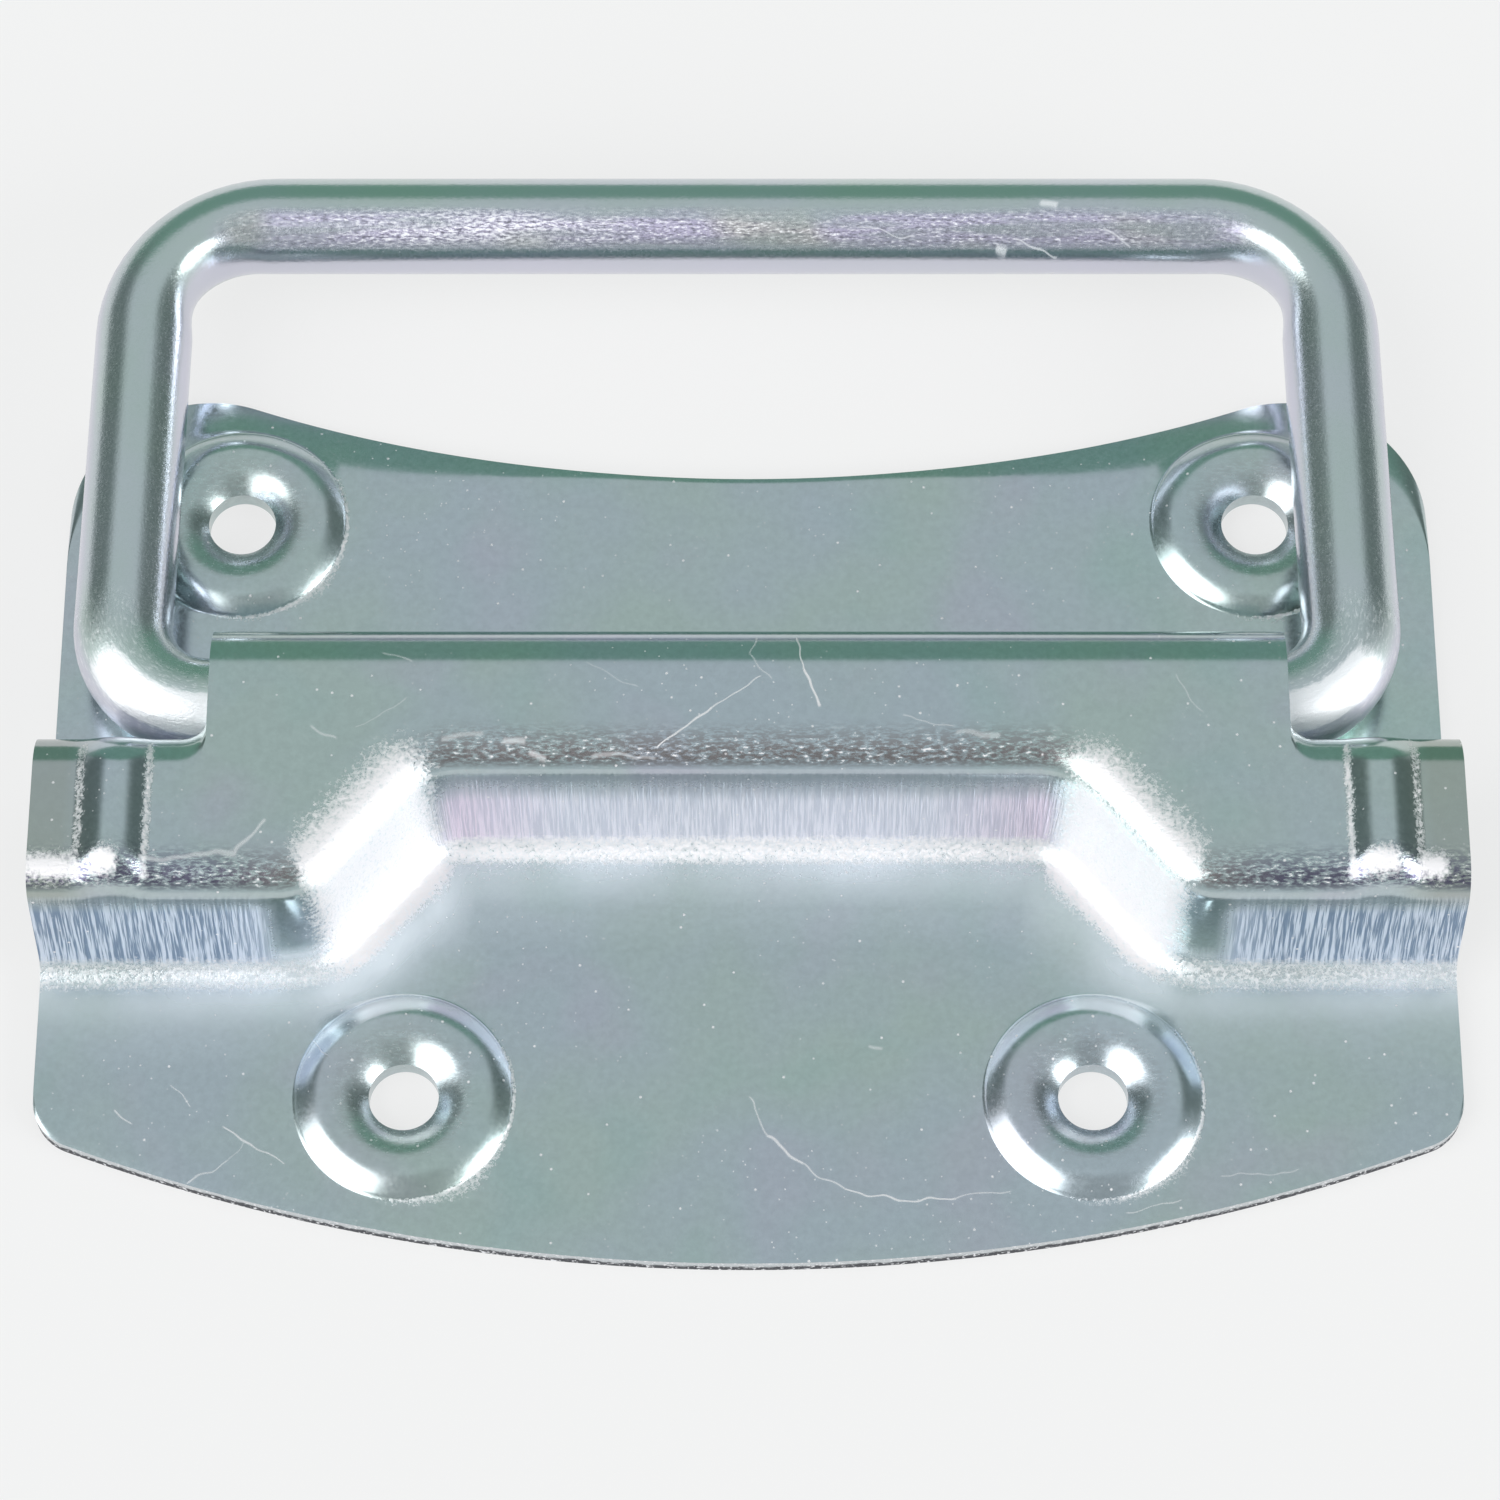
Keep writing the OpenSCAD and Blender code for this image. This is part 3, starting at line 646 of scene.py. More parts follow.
scratches = [
    # two ends in mm, half width in mm, how pale
    ((-6.8, 24.6), (-2.9, 27.9), 0.10, 0.9), ((-2.9, 27.9), (0.9, 30.3), 0.08, 0.7),
    ((3.8, 34.3), (4.4, 31.2), 0.10, 0.8), ((4.4, 31.2), (5.5, 28.0), 0.14, 0.9),
    ((0.5, 34.2), (0.1, 32.6), 0.09, 0.5), ((0.1, 32.6), (1.7, 30.1), 0.07, 0.4),
    ((0.1, -0.2), (1.5, -3.3), 0.10, 0.5), ((1.5, -3.3), (3.9, -5.6), 0.16, 0.75),
    ((3.9, -5.6), (7.4, -7.6), 0.11, 0.6), ((7.4, -7.6), (11.5, -8.4), 0.10, 0.8),
    ((11.5, -8.4), (15.8, -8.3), 0.10, 0.8), ((15.8, -8.3), (19.9, -7.6), 0.09, 0.5),
    ((-44.3, 0.8), (-42.9, -0.9), 0.07, 0.5), ((-40.2, -2.6), (-37.8, -4.0), 0.10, 0.7),
    ((-37.8, -4.0), (-35.6, -5.4), 0.09, 0.6), ((-42.6, -6.8), (-39.8, -5.4), 0.09, 0.5),
    ((-39.8, -5.4), (-38.5, -3.7), 0.06, 0.4), ((29.0, -9.4), (33.0, -8.4), 0.08, 0.5),
    ((-37.0, 18.2), (-39.3, 15.4), 0.22, 0.5), ((-39.3, 15.4), (-46.2, 15.0), 0.3, 0.45),
    ((-30.0, 26.0), (-26.5, 28.6), 0.06, 0.35), ((12.0, 27.0), (15.5, 26.2), 0.08, 0.4),
    ((33.0, 30.5), (35.0, 27.5), 0.06, 0.35), ((-18.8, 25.1), (-17.3, 24.9), 0.4, 0.55),
    ((-16.7, 24.1), (-15.7, 23.8), 0.3, 0.5), ((-12.0, 24.0), (-7.0, 23.7), 0.16, 0.35),
    ((15.9, 25.5), (19.2, 25.3), 0.3, 0.4), ((-23.5, 25.3), (-20.5, 25.6), 0.3, 0.4),
    ((-48.5, -1.2), (-47.3, -2.2), 0.09, 0.6), ((-33.5, 26.2), (-31.8, 25.2), 0.14, 0.4),
    ((-28.2, 32.6), (-26.4, 31.9), 0.12, 0.4), ((-12.6, 31.6), (-8.8, 29.6), 0.07, 0.35),
    ((36.2, -6.4), (41.8, -6.1), 0.07, 0.4), ((-33.9, 4.6), (-32.5, 3.1), 0.06, 0.35),
    ((9.6, 4.4), (10.4, 4.1), 0.2, 0.4),
]


def addScratches(tree, place, lines, pale):
    # straight stretches on a wavering place, each a soft band across and along, joined to what is pale already
    f = scratchForm
    reach, soft = f["waverReach"] * mm, f["endSoft"] * mm
    waver = addNode(tree, "TexNoise", {"noise_dimensions": "2D", "Scale": 1000 / f["waverSize"], "Detail": 1.0},
                    {"Vector": place}, "Color")
    waver = addNode(tree, "VectorMath", {"operation": "SUBTRACT", 1: (0.5, 0.5, 0.5)}, {0: waver})
    waver = addNode(tree, "VectorMath", {"operation": "MULTIPLY_ADD", 1: (reach, reach, 0.0)}, {0: waver, 2: place})
    for p, q, halfWidth, strength in lines:
        p, q = np.array(p) * mm, np.array(q) * mm
        length = float(np.hypot(*(q - p)))
        way = (q - p) / length
        middle = (p + q) / 2
        rel = addNode(tree, "VectorMath", {"operation": "SUBTRACT", 1: (middle[0], middle[1], 0.0)}, {0: waver})
        offs = []
        for axis in ((way[0], way[1], 0.0), (-way[1], way[0], 0.0)):
            off = addNode(tree, "VectorMath", {"operation": "DOT_PRODUCT", 1: axis}, {0: rel}, "Value")
            offs.append(addNode(tree, "Math", {"operation": "ABSOLUTE"}, {0: off}))
        along = addNode(tree, "MapRange", {"From Min": length / 2 + soft, "From Max": length / 2}, {"Value": offs[0]})
        across = addNode(tree, "MapRange", {"From Min": halfWidth * mm, "From Max": f["core"] * halfWidth * mm,
                                            "To Max": strength}, {"Value": offs[1]})
        line = addNode(tree, "Math", {"operation": "MULTIPLY"}, {0: along, 1: across})
        pale = addNode(tree, "Math", {"operation": "MAXIMUM"}, {0: pale, 1: line})
    return pale


def zincSheet():
    # clear zinc plate on pressed sheet steel: satin blue-grey metal with green and lavender tints,
    # frosted on the fillets, stroked on the drawn wall, scuffed on its bend, with pale specks, scratches and painted
    # highlights
    f = zincForm
    tones = linearTones(f)
    material, tree = newTree("zinc-plated pressed steel")
    place = addNode(tree, "TexCoord", out="Object")
    frostAndHighlight, strokes, scuffs, wallRun, bloom, satin = [
        addNode(tree, "Attribute", {"attribute_name": name}, out="Fac")
        for name in ("frostAndHighlight", "strokes", "scuffs", "wallRun", "bloom", "satin")]
    # tints: broad clouds of two greys, smaller patches of lavender and teal, and a fine mottle
    cloud = addNode(tree, "TexNoise", {"Scale": 1000 / f["cloudSize"], "Detail": 3.0}, {"Vector": place}, "Fac")
    cloud = addNode(tree, "MapRange", {"From Min": 0.38, "From Max": 0.62}, {"Value": cloud})
    base = addNode(tree, "Mix", {"data_type": "RGBA", 6: tones["tone"], 7: tones["cool"]}, {0: cloud}, 2)
    tint = addNode(tree, "TexNoise", {"Scale": 1000 / f["tintSize"], "Detail": 2.0}, {"Vector": place}, "Fac")
    for name, low, high in (("lavender", 0.56, 0.70), ("teal", 0.44, 0.30)):
        share = addNode(tree, "MapRange", {"From Min": low, "From Max": high, "To Max": f["tintShare"]},
                        {"Value": tint})
        base = addNode(tree, "Mix", {"data_type": "RGBA", 7: tones[name]}, {0: share, 6: base}, 2)
    mottle = addNode(tree, "TexNoise", {"Scale": 1000 / f["mottleSize"], "Detail": 2.0, "Roughness": 0.7},
                     {"Vector": place}, "Fac")
    shade = addNode(tree, "MapRange", {"From Min": 0.3, "From Max": 0.7, "To Min": f["mottleDark"],
                                       "To Max": f["mottleLight"]}, {"Value": mottle})
    base = addNode(tree, "Mix", {"data_type": "RGBA", "blend_type": "MULTIPLY", 0: 1.0}, {6: base, 7: shade}, 2)
    # the tops of the shoulders are duller and browner at their ends
    half = addNode(tree, "SeparateXYZ", None, {0: place}, 0)
    half = addNode(tree, "Math", {"operation": "ABSOLUTE"}, {0: half})
    height = addNode(tree, "SeparateXYZ", None, {0: place}, 2)
    dull = addNode(tree, "MapRange", {"From Min": f["dullX"][0] * mm, "From Max": f["dullX"][1] * mm,
                                      "To Max": f["dullShare"]}, {"Value": half})
    above = addNode(tree, "MapRange", {"From Min": f["dullZ"][0] * mm, "From Max": f["dullZ"][1] * mm},
                    {"Value": height})
    dull = addNode(tree, "Math", {"operation": "MULTIPLY"}, {0: dull, 1: above})
    base = addNode(tree, "Mix", {"data_type": "RGBA", 7: tones["dull"]}, {0: dull, 6: base}, 2)
    # a pale bloom on the lower flange below the wall
    patchy = addNode(tree, "MapRange", {"To Min": f["bloomLeast"]}, {"Value": cloud})
    bloom = addNode(tree, "Math", {"operation": "MULTIPLY"}, {0: bloom, 1: patchy})
    base = addNode(tree, "Mix", {"data_type": "RGBA", 7: tones["bloom"]}, {0: bloom, 6: base}, 2)
    # drawn wall: pale in the middle bay, dark between the strokes at the sides
    strokePlace = addNode(tree, "CombineXYZ", None, {0: wallRun, 1: height})
    strokeScale = (1000 / f["strokeSize"], 1000 / f["strokeLength"], 1.0)
    strokePlace = addNode(tree, "Mapping", {"Scale": strokeScale}, {"Vector": strokePlace})
    stroke = addNode(tree, "TexNoise", {"noise_dimensions": "2D", "Scale": 1.0, "Detail": 2.0, "Roughness": 0.7},
                     {"Vector": strokePlace}, "Fac")
    run = addNode(tree, "Math", {"operation": "ABSOLUTE"}, {0: wallRun})
    end, outer, side = [
        addNode(tree, "MapRange", {"From Min": f[name][0] * mm, "From Max": f[name][1] * mm, "To Min": low,
                                   "To Max": high}, {"Value": run})
        for name, low, high in (("wallEnd", 0.0, 1.0), ("wallOuter", 0.0, 1.0),
                                ("wallSide", f["gapMiddle"], f["gapSide"]))]
    gap = addNode(tree, "MapRange", {"From Min": 0.58, "From Max": 0.44}, {"Value": stroke})
    gap = addNode(tree, "Math", {"operation": "MULTIPLY"}, {0: gap, 1: side})
    drawn = addNode(tree, "Mix", {"data_type": "RGBA", 6: tones["drawn"], 7: tones["drawnEnd"]}, {0: end}, 2)
    drawn = addNode(tree, "Mix", {"data_type": "RGBA", 7: tones["drawnOuter"]}, {0: outer, 6: drawn}, 2)
    drawn = addNode(tree, "Mix", {"data_type": "RGBA", 7: tones["drawnSide"]}, {0: gap, 6: drawn}, 2)
    base = addNode(tree, "Mix", {"data_type": "RGBA"}, {0: strokes, 6: base, 7: drawn}, 2)
    # scuffed bend: grains drawn out along the bend, dark ones and bright ones
    along = addNode(tree, "Mapping", {"Scale": (f["scuffStretch"], 1.0, 1.0)}, {"Vector": place})
    scuff = addNode(tree, "TexNoise", {"Scale": 1000 / f["scuffSize"], "Detail": 2.0, "Roughness": 0.6},
                    {"Vector": along}, "Fac")
    dark = addNode(tree, "MapRange", {"From Min": 0.58, "From Max": 0.44}, {"Value": scuff})
    dark = addNode(tree, "Math", {"operation": "MULTIPLY"}, {0: dark, 1: scuffs})
    stain = addNode(tree, "Mix", {"data_type": "RGBA", 6: tones["scuff"], 7: tones["scuffSide"]}, {0: side}, 2)
    base = addNode(tree, "Mix", {"data_type": "RGBA"}, {0: dark, 6: base, 7: stain}, 2)
    glint = addNode(tree, "MapRange", {"From Min": 0.62, "From Max": 0.70}, {"Value": scuff})
    glint = addNode(tree, "Math", {"operation": "MULTIPLY"}, {0: glint, 1: scuffs})
    # frost and painted highlight break up towards their edge
    flake = addNode(tree, "TexNoise", {"Scale": 1000 / f["frostSize"], "Detail": 3.0, "Roughness": 0.75},
                    {"Vector": place}, "Fac")
    flake = addNode(tree, "MapRange", {"From Min": 0.25, "From Max": 0.75, "To Min": -0.5, "To Max": 0.5},
                    {"Value": flake})
    frostAndHighlightFlaked = addNode(tree, "Math", {"operation": "ADD"}, {0: frostAndHighlight, 1: flake})
    frostAndHighlightFlaked = addNode(tree, "MapRange", {"From Min": 0.30, "From Max": 0.95}, {"Value": frostAndHighlightFlaked})
    some = addNode(tree, "MapRange", {"From Max": 0.2}, {"Value": frostAndHighlight})
    frostAndHighlightFlaked = addNode(tree, "Math", {"operation": "MULTIPLY"}, {0: frostAndHighlightFlaked, 1: some})
    # specks of dust and zinc
    dot = addNode(tree, "TexVoronoi", {"Scale": 1000 / f["speckSpacing"]}, {"Vector": place}, "Distance")
    dot = addNode(tree, "MapRange", {"From Min": 0.085, "From Max": 0.035, "To Max": f["speckShare"]}, {"Value": dot})
    pale = addNode(tree, "Math", {"operation": "MAXIMUM"}, {0: glint, 1: dot})
    dot = addNode(tree, "TexVoronoi", {"Scale": 1000 / f["dustSpacing"]}, {"Vector": place}, "Distance")
    dot = addNode(tree, "MapRange", {"From Min": 0.12, "From Max": 0.05, "To Max": f["dustShare"]}, {"Value": dot})
    dot = addNode(tree, "Math", {"operation": "MULTIPLY"}, {0: dot, 1: cloud})
    pale = addNode(tree, "Math", {"operation": "MAXIMUM"}, {0: pale, 1: dot})
    pale = addScratches(tree, place, scratches, pale)
    # painted highlights: frost and highlight take the bright colour, as do the specks and scratches
    bright = addNode(tree, "Math", {"operation": "MAXIMUM"}, {0: pale, 1: frostAndHighlightFlaked})
    base = addNode(tree, "Mix", {"data_type": "RGBA", 7: tones["bright"]}, {0: bright, 6: base}, 2)
    # satin everywhere, duller where it is worn
    grain = addNode(tree, "TexNoise", {"Scale": 1000 / f["grainSize"], "Detail": 2.0}, {"Vector": place}, "Fac")
    rough = addNode(tree, "MapRange", {"From Min": 0.3, "From Max": 0.7, "To Min": f["roughLeast"],
                                       "To Max": f["roughMost"]}, {"Value": grain})
    for worn, extra in ((frostAndHighlightFlaked, "frostRough"), (strokes, "strokeRough"), (scuffs, "scuffRough"),
                        (pale, "paleRough"), (satin, "satinRough")):
        rough = addNode(tree, "Math", {"operation": "MULTIPLY_ADD", 1: f[extra]}, {0: worn, 2: rough})
    # heights: grain everywhere, scuffs on the bend and the frosted fillets, draw strokes on the wall
    height = addNode(tree, "Math", {"operation": "MULTIPLY", 1: f["grainDepth"] * mm}, {0: grain})
    torn = addNode(tree, "Math", {"operation": "MAXIMUM"}, {0: scuffs, 1: frostAndHighlightFlaked})
    for pattern, where, depth in ((scuff, torn, "scuffDepth"), (stroke, strokes, "strokeDepth")):
        part = addNode(tree, "Math", {"operation": "MULTIPLY", 1: f[depth] * mm}, {0: pattern})
        height = addNode(tree, "Math", {"operation": "MULTIPLY_ADD"}, {0: part, 1: where, 2: height})
    bump = addNode(tree, "Bump", {"Strength": 1.0, "Distance": 1.0}, {"Height": height}, "Normal")
    # worn zinc turns chalky, so it is less of a mirror, and so do the painted highlights
    chalk = addNode(tree, "Math", {"operation": "MAXIMUM"}, {0: bright, 1: strokes})
    hazy = addNode(tree, "Math", {"operation": "MULTIPLY", 1: f["haze"]}, {0: bloom})
    chalk = addNode(tree, "Math", {"operation": "MAXIMUM"}, {0: chalk, 1: hazy})
    metal = addNode(tree, "MapRange", {"To Min": 1.0, "To Max": f["chalkMetal"]}, {"Value": chalk})
    shader = addNode(tree, "BsdfPrincipled", None,
                     {"Base Color": base, "Metallic": metal, "Roughness": rough, "Normal": bump})
    addNode(tree, "OutputMaterial", None, {"Surface": shader})
    return material


# cut edge of the plate, in mm
cutForm = {
    "burnished": "#C9CFD2", "torn": "#4A4C52", "fleck": "#F0F1F4", "tornHeight": 0.75, "ragged": 0.9, "soft": 0.15,
    "grainSize": 0.9, "fleckSize": 0.3, "grainDepth": 0.03, "burnishedRough": 0.22, "tornRough": 0.5,
}


def shearedEdge():
    # plated edge of sheared sheet: a burnished band above, a dark torn band below
    f = cutForm
    tones = linearTones(f)
    material, tree = newTree("zinc-plated sheared edge")
    place = addNode(tree, "TexCoord", out="Object")
    grain = addNode(tree, "TexNoise", {"Scale": 1000 / f["grainSize"], "Detail": 3.0}, {"Vector": place}, "Fac")
    height = addNode(tree, "SeparateXYZ", None, {0: place}, 2)
    level = addNode(tree, "Math", {"operation": "MULTIPLY_ADD", 1: f["ragged"] * mm}, {0: grain, 2: height})
    middle = f["tornHeight"] + f["ragged"] / 2
    share = addNode(tree, "MapRange", {"From Min": (middle + f["soft"]) * mm, "From Max": (middle - f["soft"]) * mm},
                    {"Value": level})
    base = addNode(tree, "Mix", {"data_type": "RGBA", 6: tones["burnished"], 7: tones["torn"]}, {0: share}, 2)
    fleck = addNode(tree, "TexNoise", {"Scale": 1000 / f["fleckSize"], "Detail": 2.0}, {"Vector": place}, "Fac")
    fleck = addNode(tree, "MapRange", {"From Min": 0.56, "From Max": 0.66}, {"Value": fleck})
    base = addNode(tree, "Mix", {"data_type": "RGBA", 7: tones["fleck"]}, {0: fleck, 6: base}, 2)
    rough = addNode(tree, "MapRange", {"To Min": f["burnishedRough"], "To Max": f["tornRough"]}, {"Value": share})
    relief = addNode(tree, "Math", {"operation": "MULTIPLY", 1: f["grainDepth"] * mm}, {0: grain})
    bump = addNode(tree, "Bump", {"Strength": 1.0, "Distance": 1.0}, {"Height": relief}, "Normal")
    shader = addNode(tree, "BsdfPrincipled", {"Metallic": 1.0},
                     {"Base Color": base, "Roughness": rough, "Normal": bump})
    addNode(tree, "OutputMaterial", None, {"Surface": shader})
    return material


# finish of the bail: sizes, places and depths in mm
wireForm = {
    "tone": "#C0CECB", "cool": "#C6CED3", "flankReflection": "#D9D6E6", "rubbed": "#C6BFDA", "warm": "#C9C6C8",
    "dark": "#84848F", "bright": "#F4F4F7",
    "cloudSize": 12.0, "streakLength": 0.65, "streakWidth": 0.2, "patchLength": 11.0, "patchWidth": 1.3,
    "tintLength": 11.0, "grainSize": 0.2, "flankReflectionShare": 0.7, "patchLeast": 0.4,
    "wornX": -22.0, "wornSpan": (14.0, 4.0), "wornMore": 0.06, "stippleSparkleShare": 0.5, "bendHighlightShare": 0.8,
    "roughLeast": 0.16, "roughMost": 0.26, "rubRough": 0.16, "stippleRough": 0.12, "chalkMetal": 0.35,
    "grainDepth": 0.010, "streakDepth": 0.02, "creaseStreaks": 0.8, "stippleStreaks": 1.8,
}
wireScratches = [
    ((23.9, 74.6), (25.0, 74.2), 0.4, 0.6), ((20.1, 71.3), (20.8, 71.0), 0.35, 0.7),
    ((21.6, 71.6), (25.0, 71.0), 0.08, 0.6), ((9.0, 72.6), (13.5, 71.9), 0.07, 0.5),
    ((-14.0, 73.0), (-9.5, 72.3), 0.07, 0.5), ((29.0, 72.5), (31.0, 71.4), 0.1, 0.5),
]


def zincWire():
    # clear zinc plate on bent wire: smoother than the sheet, rubbed in short streaks along the grip,
    # creased inside its bends, stippled on the lower ones under a painted highlight, with a painted reflection tint
    # on the flanks
    f = wireForm
    tones = linearTones(f)
    material, tree = newTree("zinc-plated bent steel wire")
    place = addNode(tree, "TexCoord", out="Object")
    wireMap = addNode(tree, "Attribute", {"attribute_name": "wireMap"}, out="Vector")
    rub, crease, flankReflection, stipple, paintedBendHighlight = [
        addNode(tree, "Attribute", {"attribute_name": name}, out="Fac")
        for name in ("rub", "crease", "flankReflection", "stipple", "paintedBendHighlight")]
    cloud = addNode(tree, "TexNoise", {"Scale": 1000 / f["cloudSize"], "Detail": 3.0}, {"Vector": place}, "Fac")
    cloud = addNode(tree, "MapRange", {"From Min": 0.38, "From Max": 0.62}, {"Value": cloud})
    base = addNode(tree, "Mix", {"data_type": "RGBA", 6: tones["tone"], 7: tones["cool"]}, {0: cloud}, 2)
    # painted reflection: wire faces that turn aside are tinted pale lavender
    flankReflection = addNode(tree, "Math", {"operation": "MULTIPLY", 1: f["flankReflectionShare"]}, {0: flankReflection})
    base = addNode(tree, "Mix", {"data_type": "RGBA", 7: tones["flankReflection"]}, {0: flankReflection, 6: base}, 2)
    # short streaks along the wire, in patches
    streakScale = (1000 / f["streakLength"], 1000 / f["streakWidth"], 1.0)
    streak = addNode(tree, "Mapping", {"Scale": streakScale}, {"Vector": wireMap})
    streak = addNode(tree, "TexNoise", {"Scale": 1.0, "Detail": 4.0, "Roughness": 0.75}, {"Vector": streak}, "Fac")
    patchScale = (1000 / f["patchLength"], 1000 / f["patchWidth"], 1.0)
    patch = addNode(tree, "Mapping", {"Scale": patchScale}, {"Vector": wireMap})
    patch = addNode(tree, "TexNoise", {"Scale": 1.0, "Detail": 2.0}, {"Vector": patch}, "Fac")
    patch = addNode(tree, "MapRange", {"From Min": 0.36, "From Max": 0.56, "To Min": f["patchLeast"]},
                    {"Value": patch})
    rubbed = addNode(tree, "Math", {"operation": "MULTIPLY"}, {0: rub, 1: patch})
    # lavender and warm stretches by turns along the grip
    tint = addNode(tree, "TexNoise", {"Scale": 1000 / f["tintLength"], "Detail": 1.0}, {"Vector": wireMap}, "Fac")
    tint = addNode(tree, "MapRange", {"From Min": 0.50, "From Max": 0.60}, {"Value": tint})
    tint = addNode(tree, "Mix", {"data_type": "RGBA", 6: tones["rubbed"], 7: tones["warm"]}, {0: tint}, 2)
    base = addNode(tree, "Mix", {"data_type": "RGBA"}, {0: rubbed, 6: base, 7: tint}, 2)
    dark = addNode(tree, "MapRange", {"From Min": 0.49, "From Max": 0.37}, {"Value": streak})
    dark = addNode(tree, "Math", {"operation": "MULTIPLY"}, {0: dark, 1: rubbed})
    base = addNode(tree, "Mix", {"data_type": "RGBA", 7: tones["dark"]}, {0: dark, 6: base}, 2)
    # most worn a third of the way along
    away = addNode(tree, "SeparateXYZ", None, {0: place}, 0)
    away = addNode(tree, "Math", {"operation": "SUBTRACT", 1: f["wornX"] * mm}, {0: away})
    away = addNode(tree, "Math", {"operation": "ABSOLUTE"}, {0: away})
    most = addNode(tree, "MapRange", {"From Min": f["wornSpan"][0] * mm, "From Max": f["wornSpan"][1] * mm,
                                      "To Max": f["wornMore"]}, {"Value": away})
    pale = addNode(tree, "Math", {"operation": "ADD"}, {0: streak, 1: most})
    pale = addNode(tree, "MapRange", {"From Min": 0.53, "From Max": 0.63}, {"Value": pale})
    # the stipple also paints pale sparkle into the bends' highlight; on the grip the pale streaks are wear
    flecked = addNode(tree, "Math", {"operation": "MULTIPLY_ADD", 1: f["stippleSparkleShare"]}, {0: stipple, 2: rubbed})
    pale = addNode(tree, "Math", {"operation": "MULTIPLY"}, {0: pale, 1: flecked})
    # painted white highlight on the lower bends, broken up by the streaks
    white = addNode(tree, "Math", {"operation": "ADD"}, {0: paintedBendHighlight, 1: streak})
    white = addNode(tree, "MapRange", {"From Min": 0.95, "From Max": 1.25, "To Max": f["bendHighlightShare"]},
                    {"Value": white})
    pale = addNode(tree, "Math", {"operation": "MAXIMUM"}, {0: pale, 1: white})
    pale = addScratches(tree, place, wireScratches, pale)
    base = addNode(tree, "Mix", {"data_type": "RGBA", 7: tones["bright"]}, {0: pale, 6: base}, 2)
    # duller and rougher where it is worn, and less of a mirror where it is pale
    grain = addNode(tree, "TexNoise", {"Scale": 1000 / f["grainSize"], "Detail": 2.0}, {"Vector": place}, "Fac")
    rough = addNode(tree, "MapRange", {"From Min": 0.3, "From Max": 0.7, "To Min": f["roughLeast"],
                                       "To Max": f["roughMost"]}, {"Value": grain})
    for worn, extra in ((rubbed, "rubRough"), (stipple, "stippleRough")):
        rough = addNode(tree, "Math", {"operation": "MULTIPLY_ADD", 1: f[extra]}, {0: worn, 2: rough})
    height = addNode(tree, "Math", {"operation": "MULTIPLY", 1: f["grainDepth"] * mm}, {0: grain})
    torn = rubbed
    for worn, more in ((crease, "creaseStreaks"), (stipple, "stippleStreaks")):
        torn = addNode(tree, "Math", {"operation": "MULTIPLY_ADD", 1: f[more]}, {0: worn, 2: torn})
    part = addNode(tree, "Math", {"operation": "MULTIPLY", 1: f["streakDepth"] * mm}, {0: streak})
    height = addNode(tree, "Math", {"operation": "MULTIPLY_ADD"}, {0: part, 1: torn, 2: height})
    bump = addNode(tree, "Bump", {"Strength": 1.0, "Distance": 1.0}, {"Height": height}, "Normal")
    metal = addNode(tree, "MapRange", {"To Min": 1.0, "To Max": f["chalkMetal"]}, {"Value": pale})
    shader = addNode(tree, "BsdfPrincipled", None,
                     {"Base Color": base, "Metallic": metal, "Roughness": rough, "Normal": bump})
    addNode(tree, "OutputMaterial", None, {"Surface": shader})
    return material


plate.data.materials.append(zincSheet())
plate.data.materials.append(shearedEdge())
bail.data.materials.append(zincWire())
print("finishes made")


# studio: pale floor, soft surroundings and camera; the camera's place in mm, the floor in m
studio = {
    "floor": "#F5F5F5", "paper": "#D9D9D9", "floorSize": 3.0, "floorDrop": 0.0001, "floorGlow": 0.8,
    "distance": 411.5, "elevation": 64.5, "aim": (0.12, 30.3, 0.0), "lens": 123.98, "sensor": 36.0, "clipStart": 0.01,
    "ambient": "#D0D8D9", "ambientStrength": 1.0,
}
softBoxes = [
    # direction, cosine where it starts and where it is full, colour, strength
    ((0.0, 1.0, 0.1), 0.70, 0.74, "#84A89A", 0.95),
    ((0.0, -0.75, 0.66), 0.78, 0.92, "#B4BABA", 1.0),
    ((-0.72, -0.35, 0.6), 0.84, 0.90, "#FFFFFF", 3.6),
    ((0.84, -0.40, 0.32), 0.93, 0.97, "#FFFFFF", 8.0),
    ((-0.80, 0.45, 0.40), 0.84, 0.985, "#8E9C99", 0.62),
    ((0.80, 0.45, 0.40), 0.84, 0.985, "#8E9C99", 0.62),
]


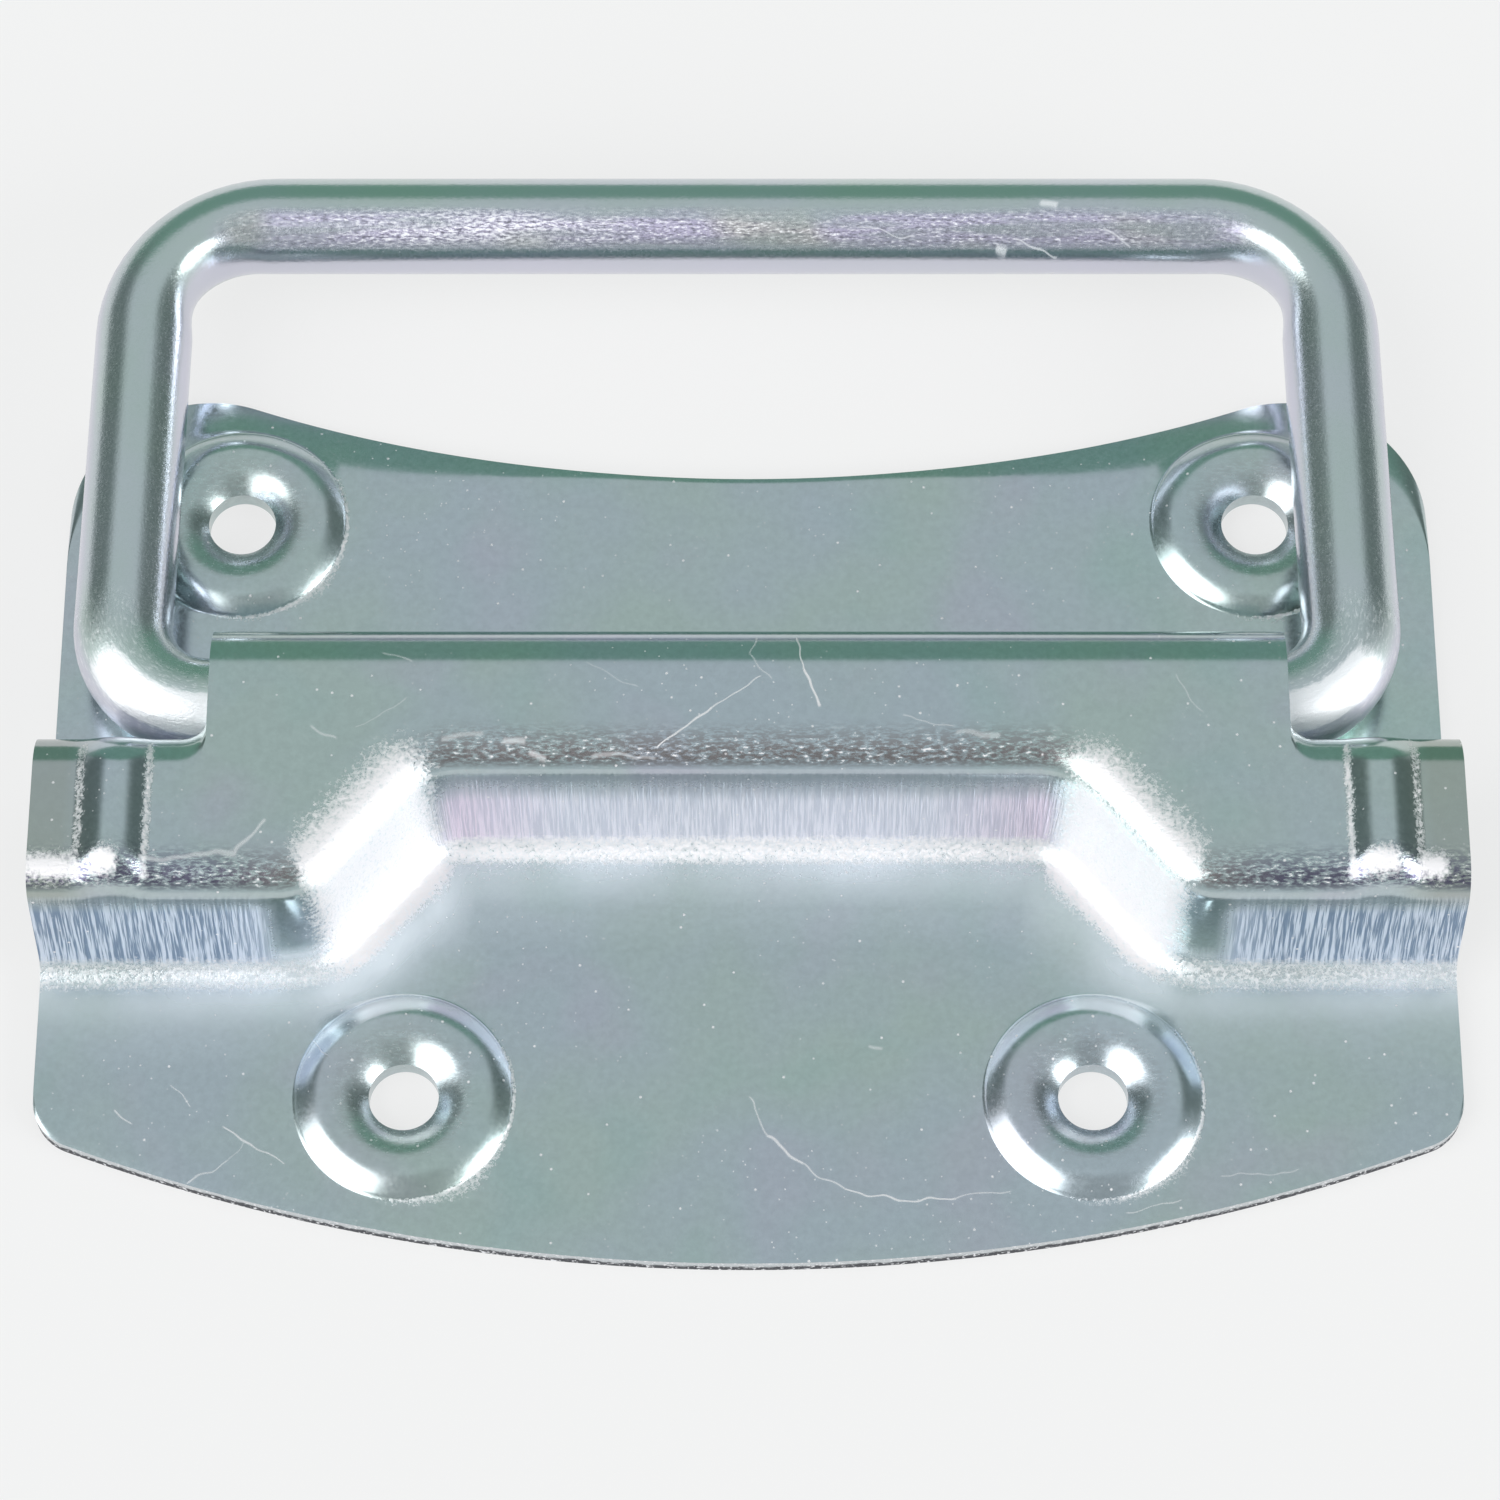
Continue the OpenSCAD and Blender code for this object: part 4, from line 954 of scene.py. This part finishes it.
def makeStudio():
    # matt white paper that glows for the eye and in mirrors, under an even sky with a round patch for each soft box
    scene = bpy.context.scene
    tones = linearTones(studio)
    size = studio["floorSize"]
    mesh = bpy.data.meshes.new("floor")
    z = -studio["floorDrop"]
    mesh.from_pydata([(-size, -size, z), (size, -size, z), (size, size, z), (-size, size, z)], [], [(0, 1, 2, 3)])
    floor = placeObject("floor", mesh)
    material, tree = newTree("matt white paper")
    paper = addNode(tree, "BsdfDiffuse", {"Color": tones["paper"]})
    glow = addNode(tree, "Emission", {"Color": tones["floor"], "Strength": 1.0})
    rays = addNode(tree, "LightPath").node.outputs
    seen = rays["Is Camera Ray"]
    for ray in ("Is Glossy Ray", "Is Transmission Ray"):
        seen = addNode(tree, "Math", {"operation": "ADD", "use_clamp": True}, {0: seen, 1: rays[ray]})
    share = addNode(tree, "Math", {"operation": "MULTIPLY", 1: studio["floorGlow"]}, {0: seen})
    mix = addNode(tree, "MixShader", None, {0: share, 1: paper, 2: glow})
    addNode(tree, "OutputMaterial", None, {"Surface": mix})
    mesh.materials.append(material)

    world = bpy.data.worlds.new("studio")
    scene.world = world
    world.use_nodes = True
    tree = world.node_tree
    tree.nodes.clear()
    heading = addNode(tree, "TexCoord", out="Generated")
    total = addNode(tree, "VectorMath", {"operation": "SCALE", 0: tones["ambient"][:3],
                                         "Scale": studio["ambientStrength"]})
    for axis, start, full, colour, strength in softBoxes:
        axis = np.array(axis) / np.linalg.norm(axis)
        dot = addNode(tree, "VectorMath", {"operation": "DOT_PRODUCT", 1: tuple(axis)}, {0: heading}, "Value")
        share = addNode(tree, "MapRange", {"interpolation_type": "SMOOTHSTEP", "From Min": start, "From Max": full},
                        {"Value": dot})
        shade = tuple(c * strength for c in linearColour(colour)[:3])
        total = addNode(tree, "Mix", {"data_type": "VECTOR", 5: shade}, {0: share, 4: total}, 1)
    sky = addNode(tree, "Background", {"Strength": 1.0}, {"Color": total})
    addNode(tree, "OutputWorld", None, {"Surface": sky})

    tilt = math.radians(studio["elevation"])
    eye = np.array(studio["aim"]) + studio["distance"] * np.array([0, -math.cos(tilt), math.sin(tilt)])
    camera = bpy.data.cameras.new("camera")
    camera.lens = studio["lens"]
    camera.sensor_width = studio["sensor"]
    camera.clip_start = studio["clipStart"]
    cameraObject = placeObject("camera", camera)
    cameraObject.location = eye * mm
    cameraObject.rotation_euler = (math.pi / 2 - tilt, 0, 0)
    scene.camera = cameraObject
    scene.view_settings.view_transform = "Standard"


makeStudio()
print("studio made")
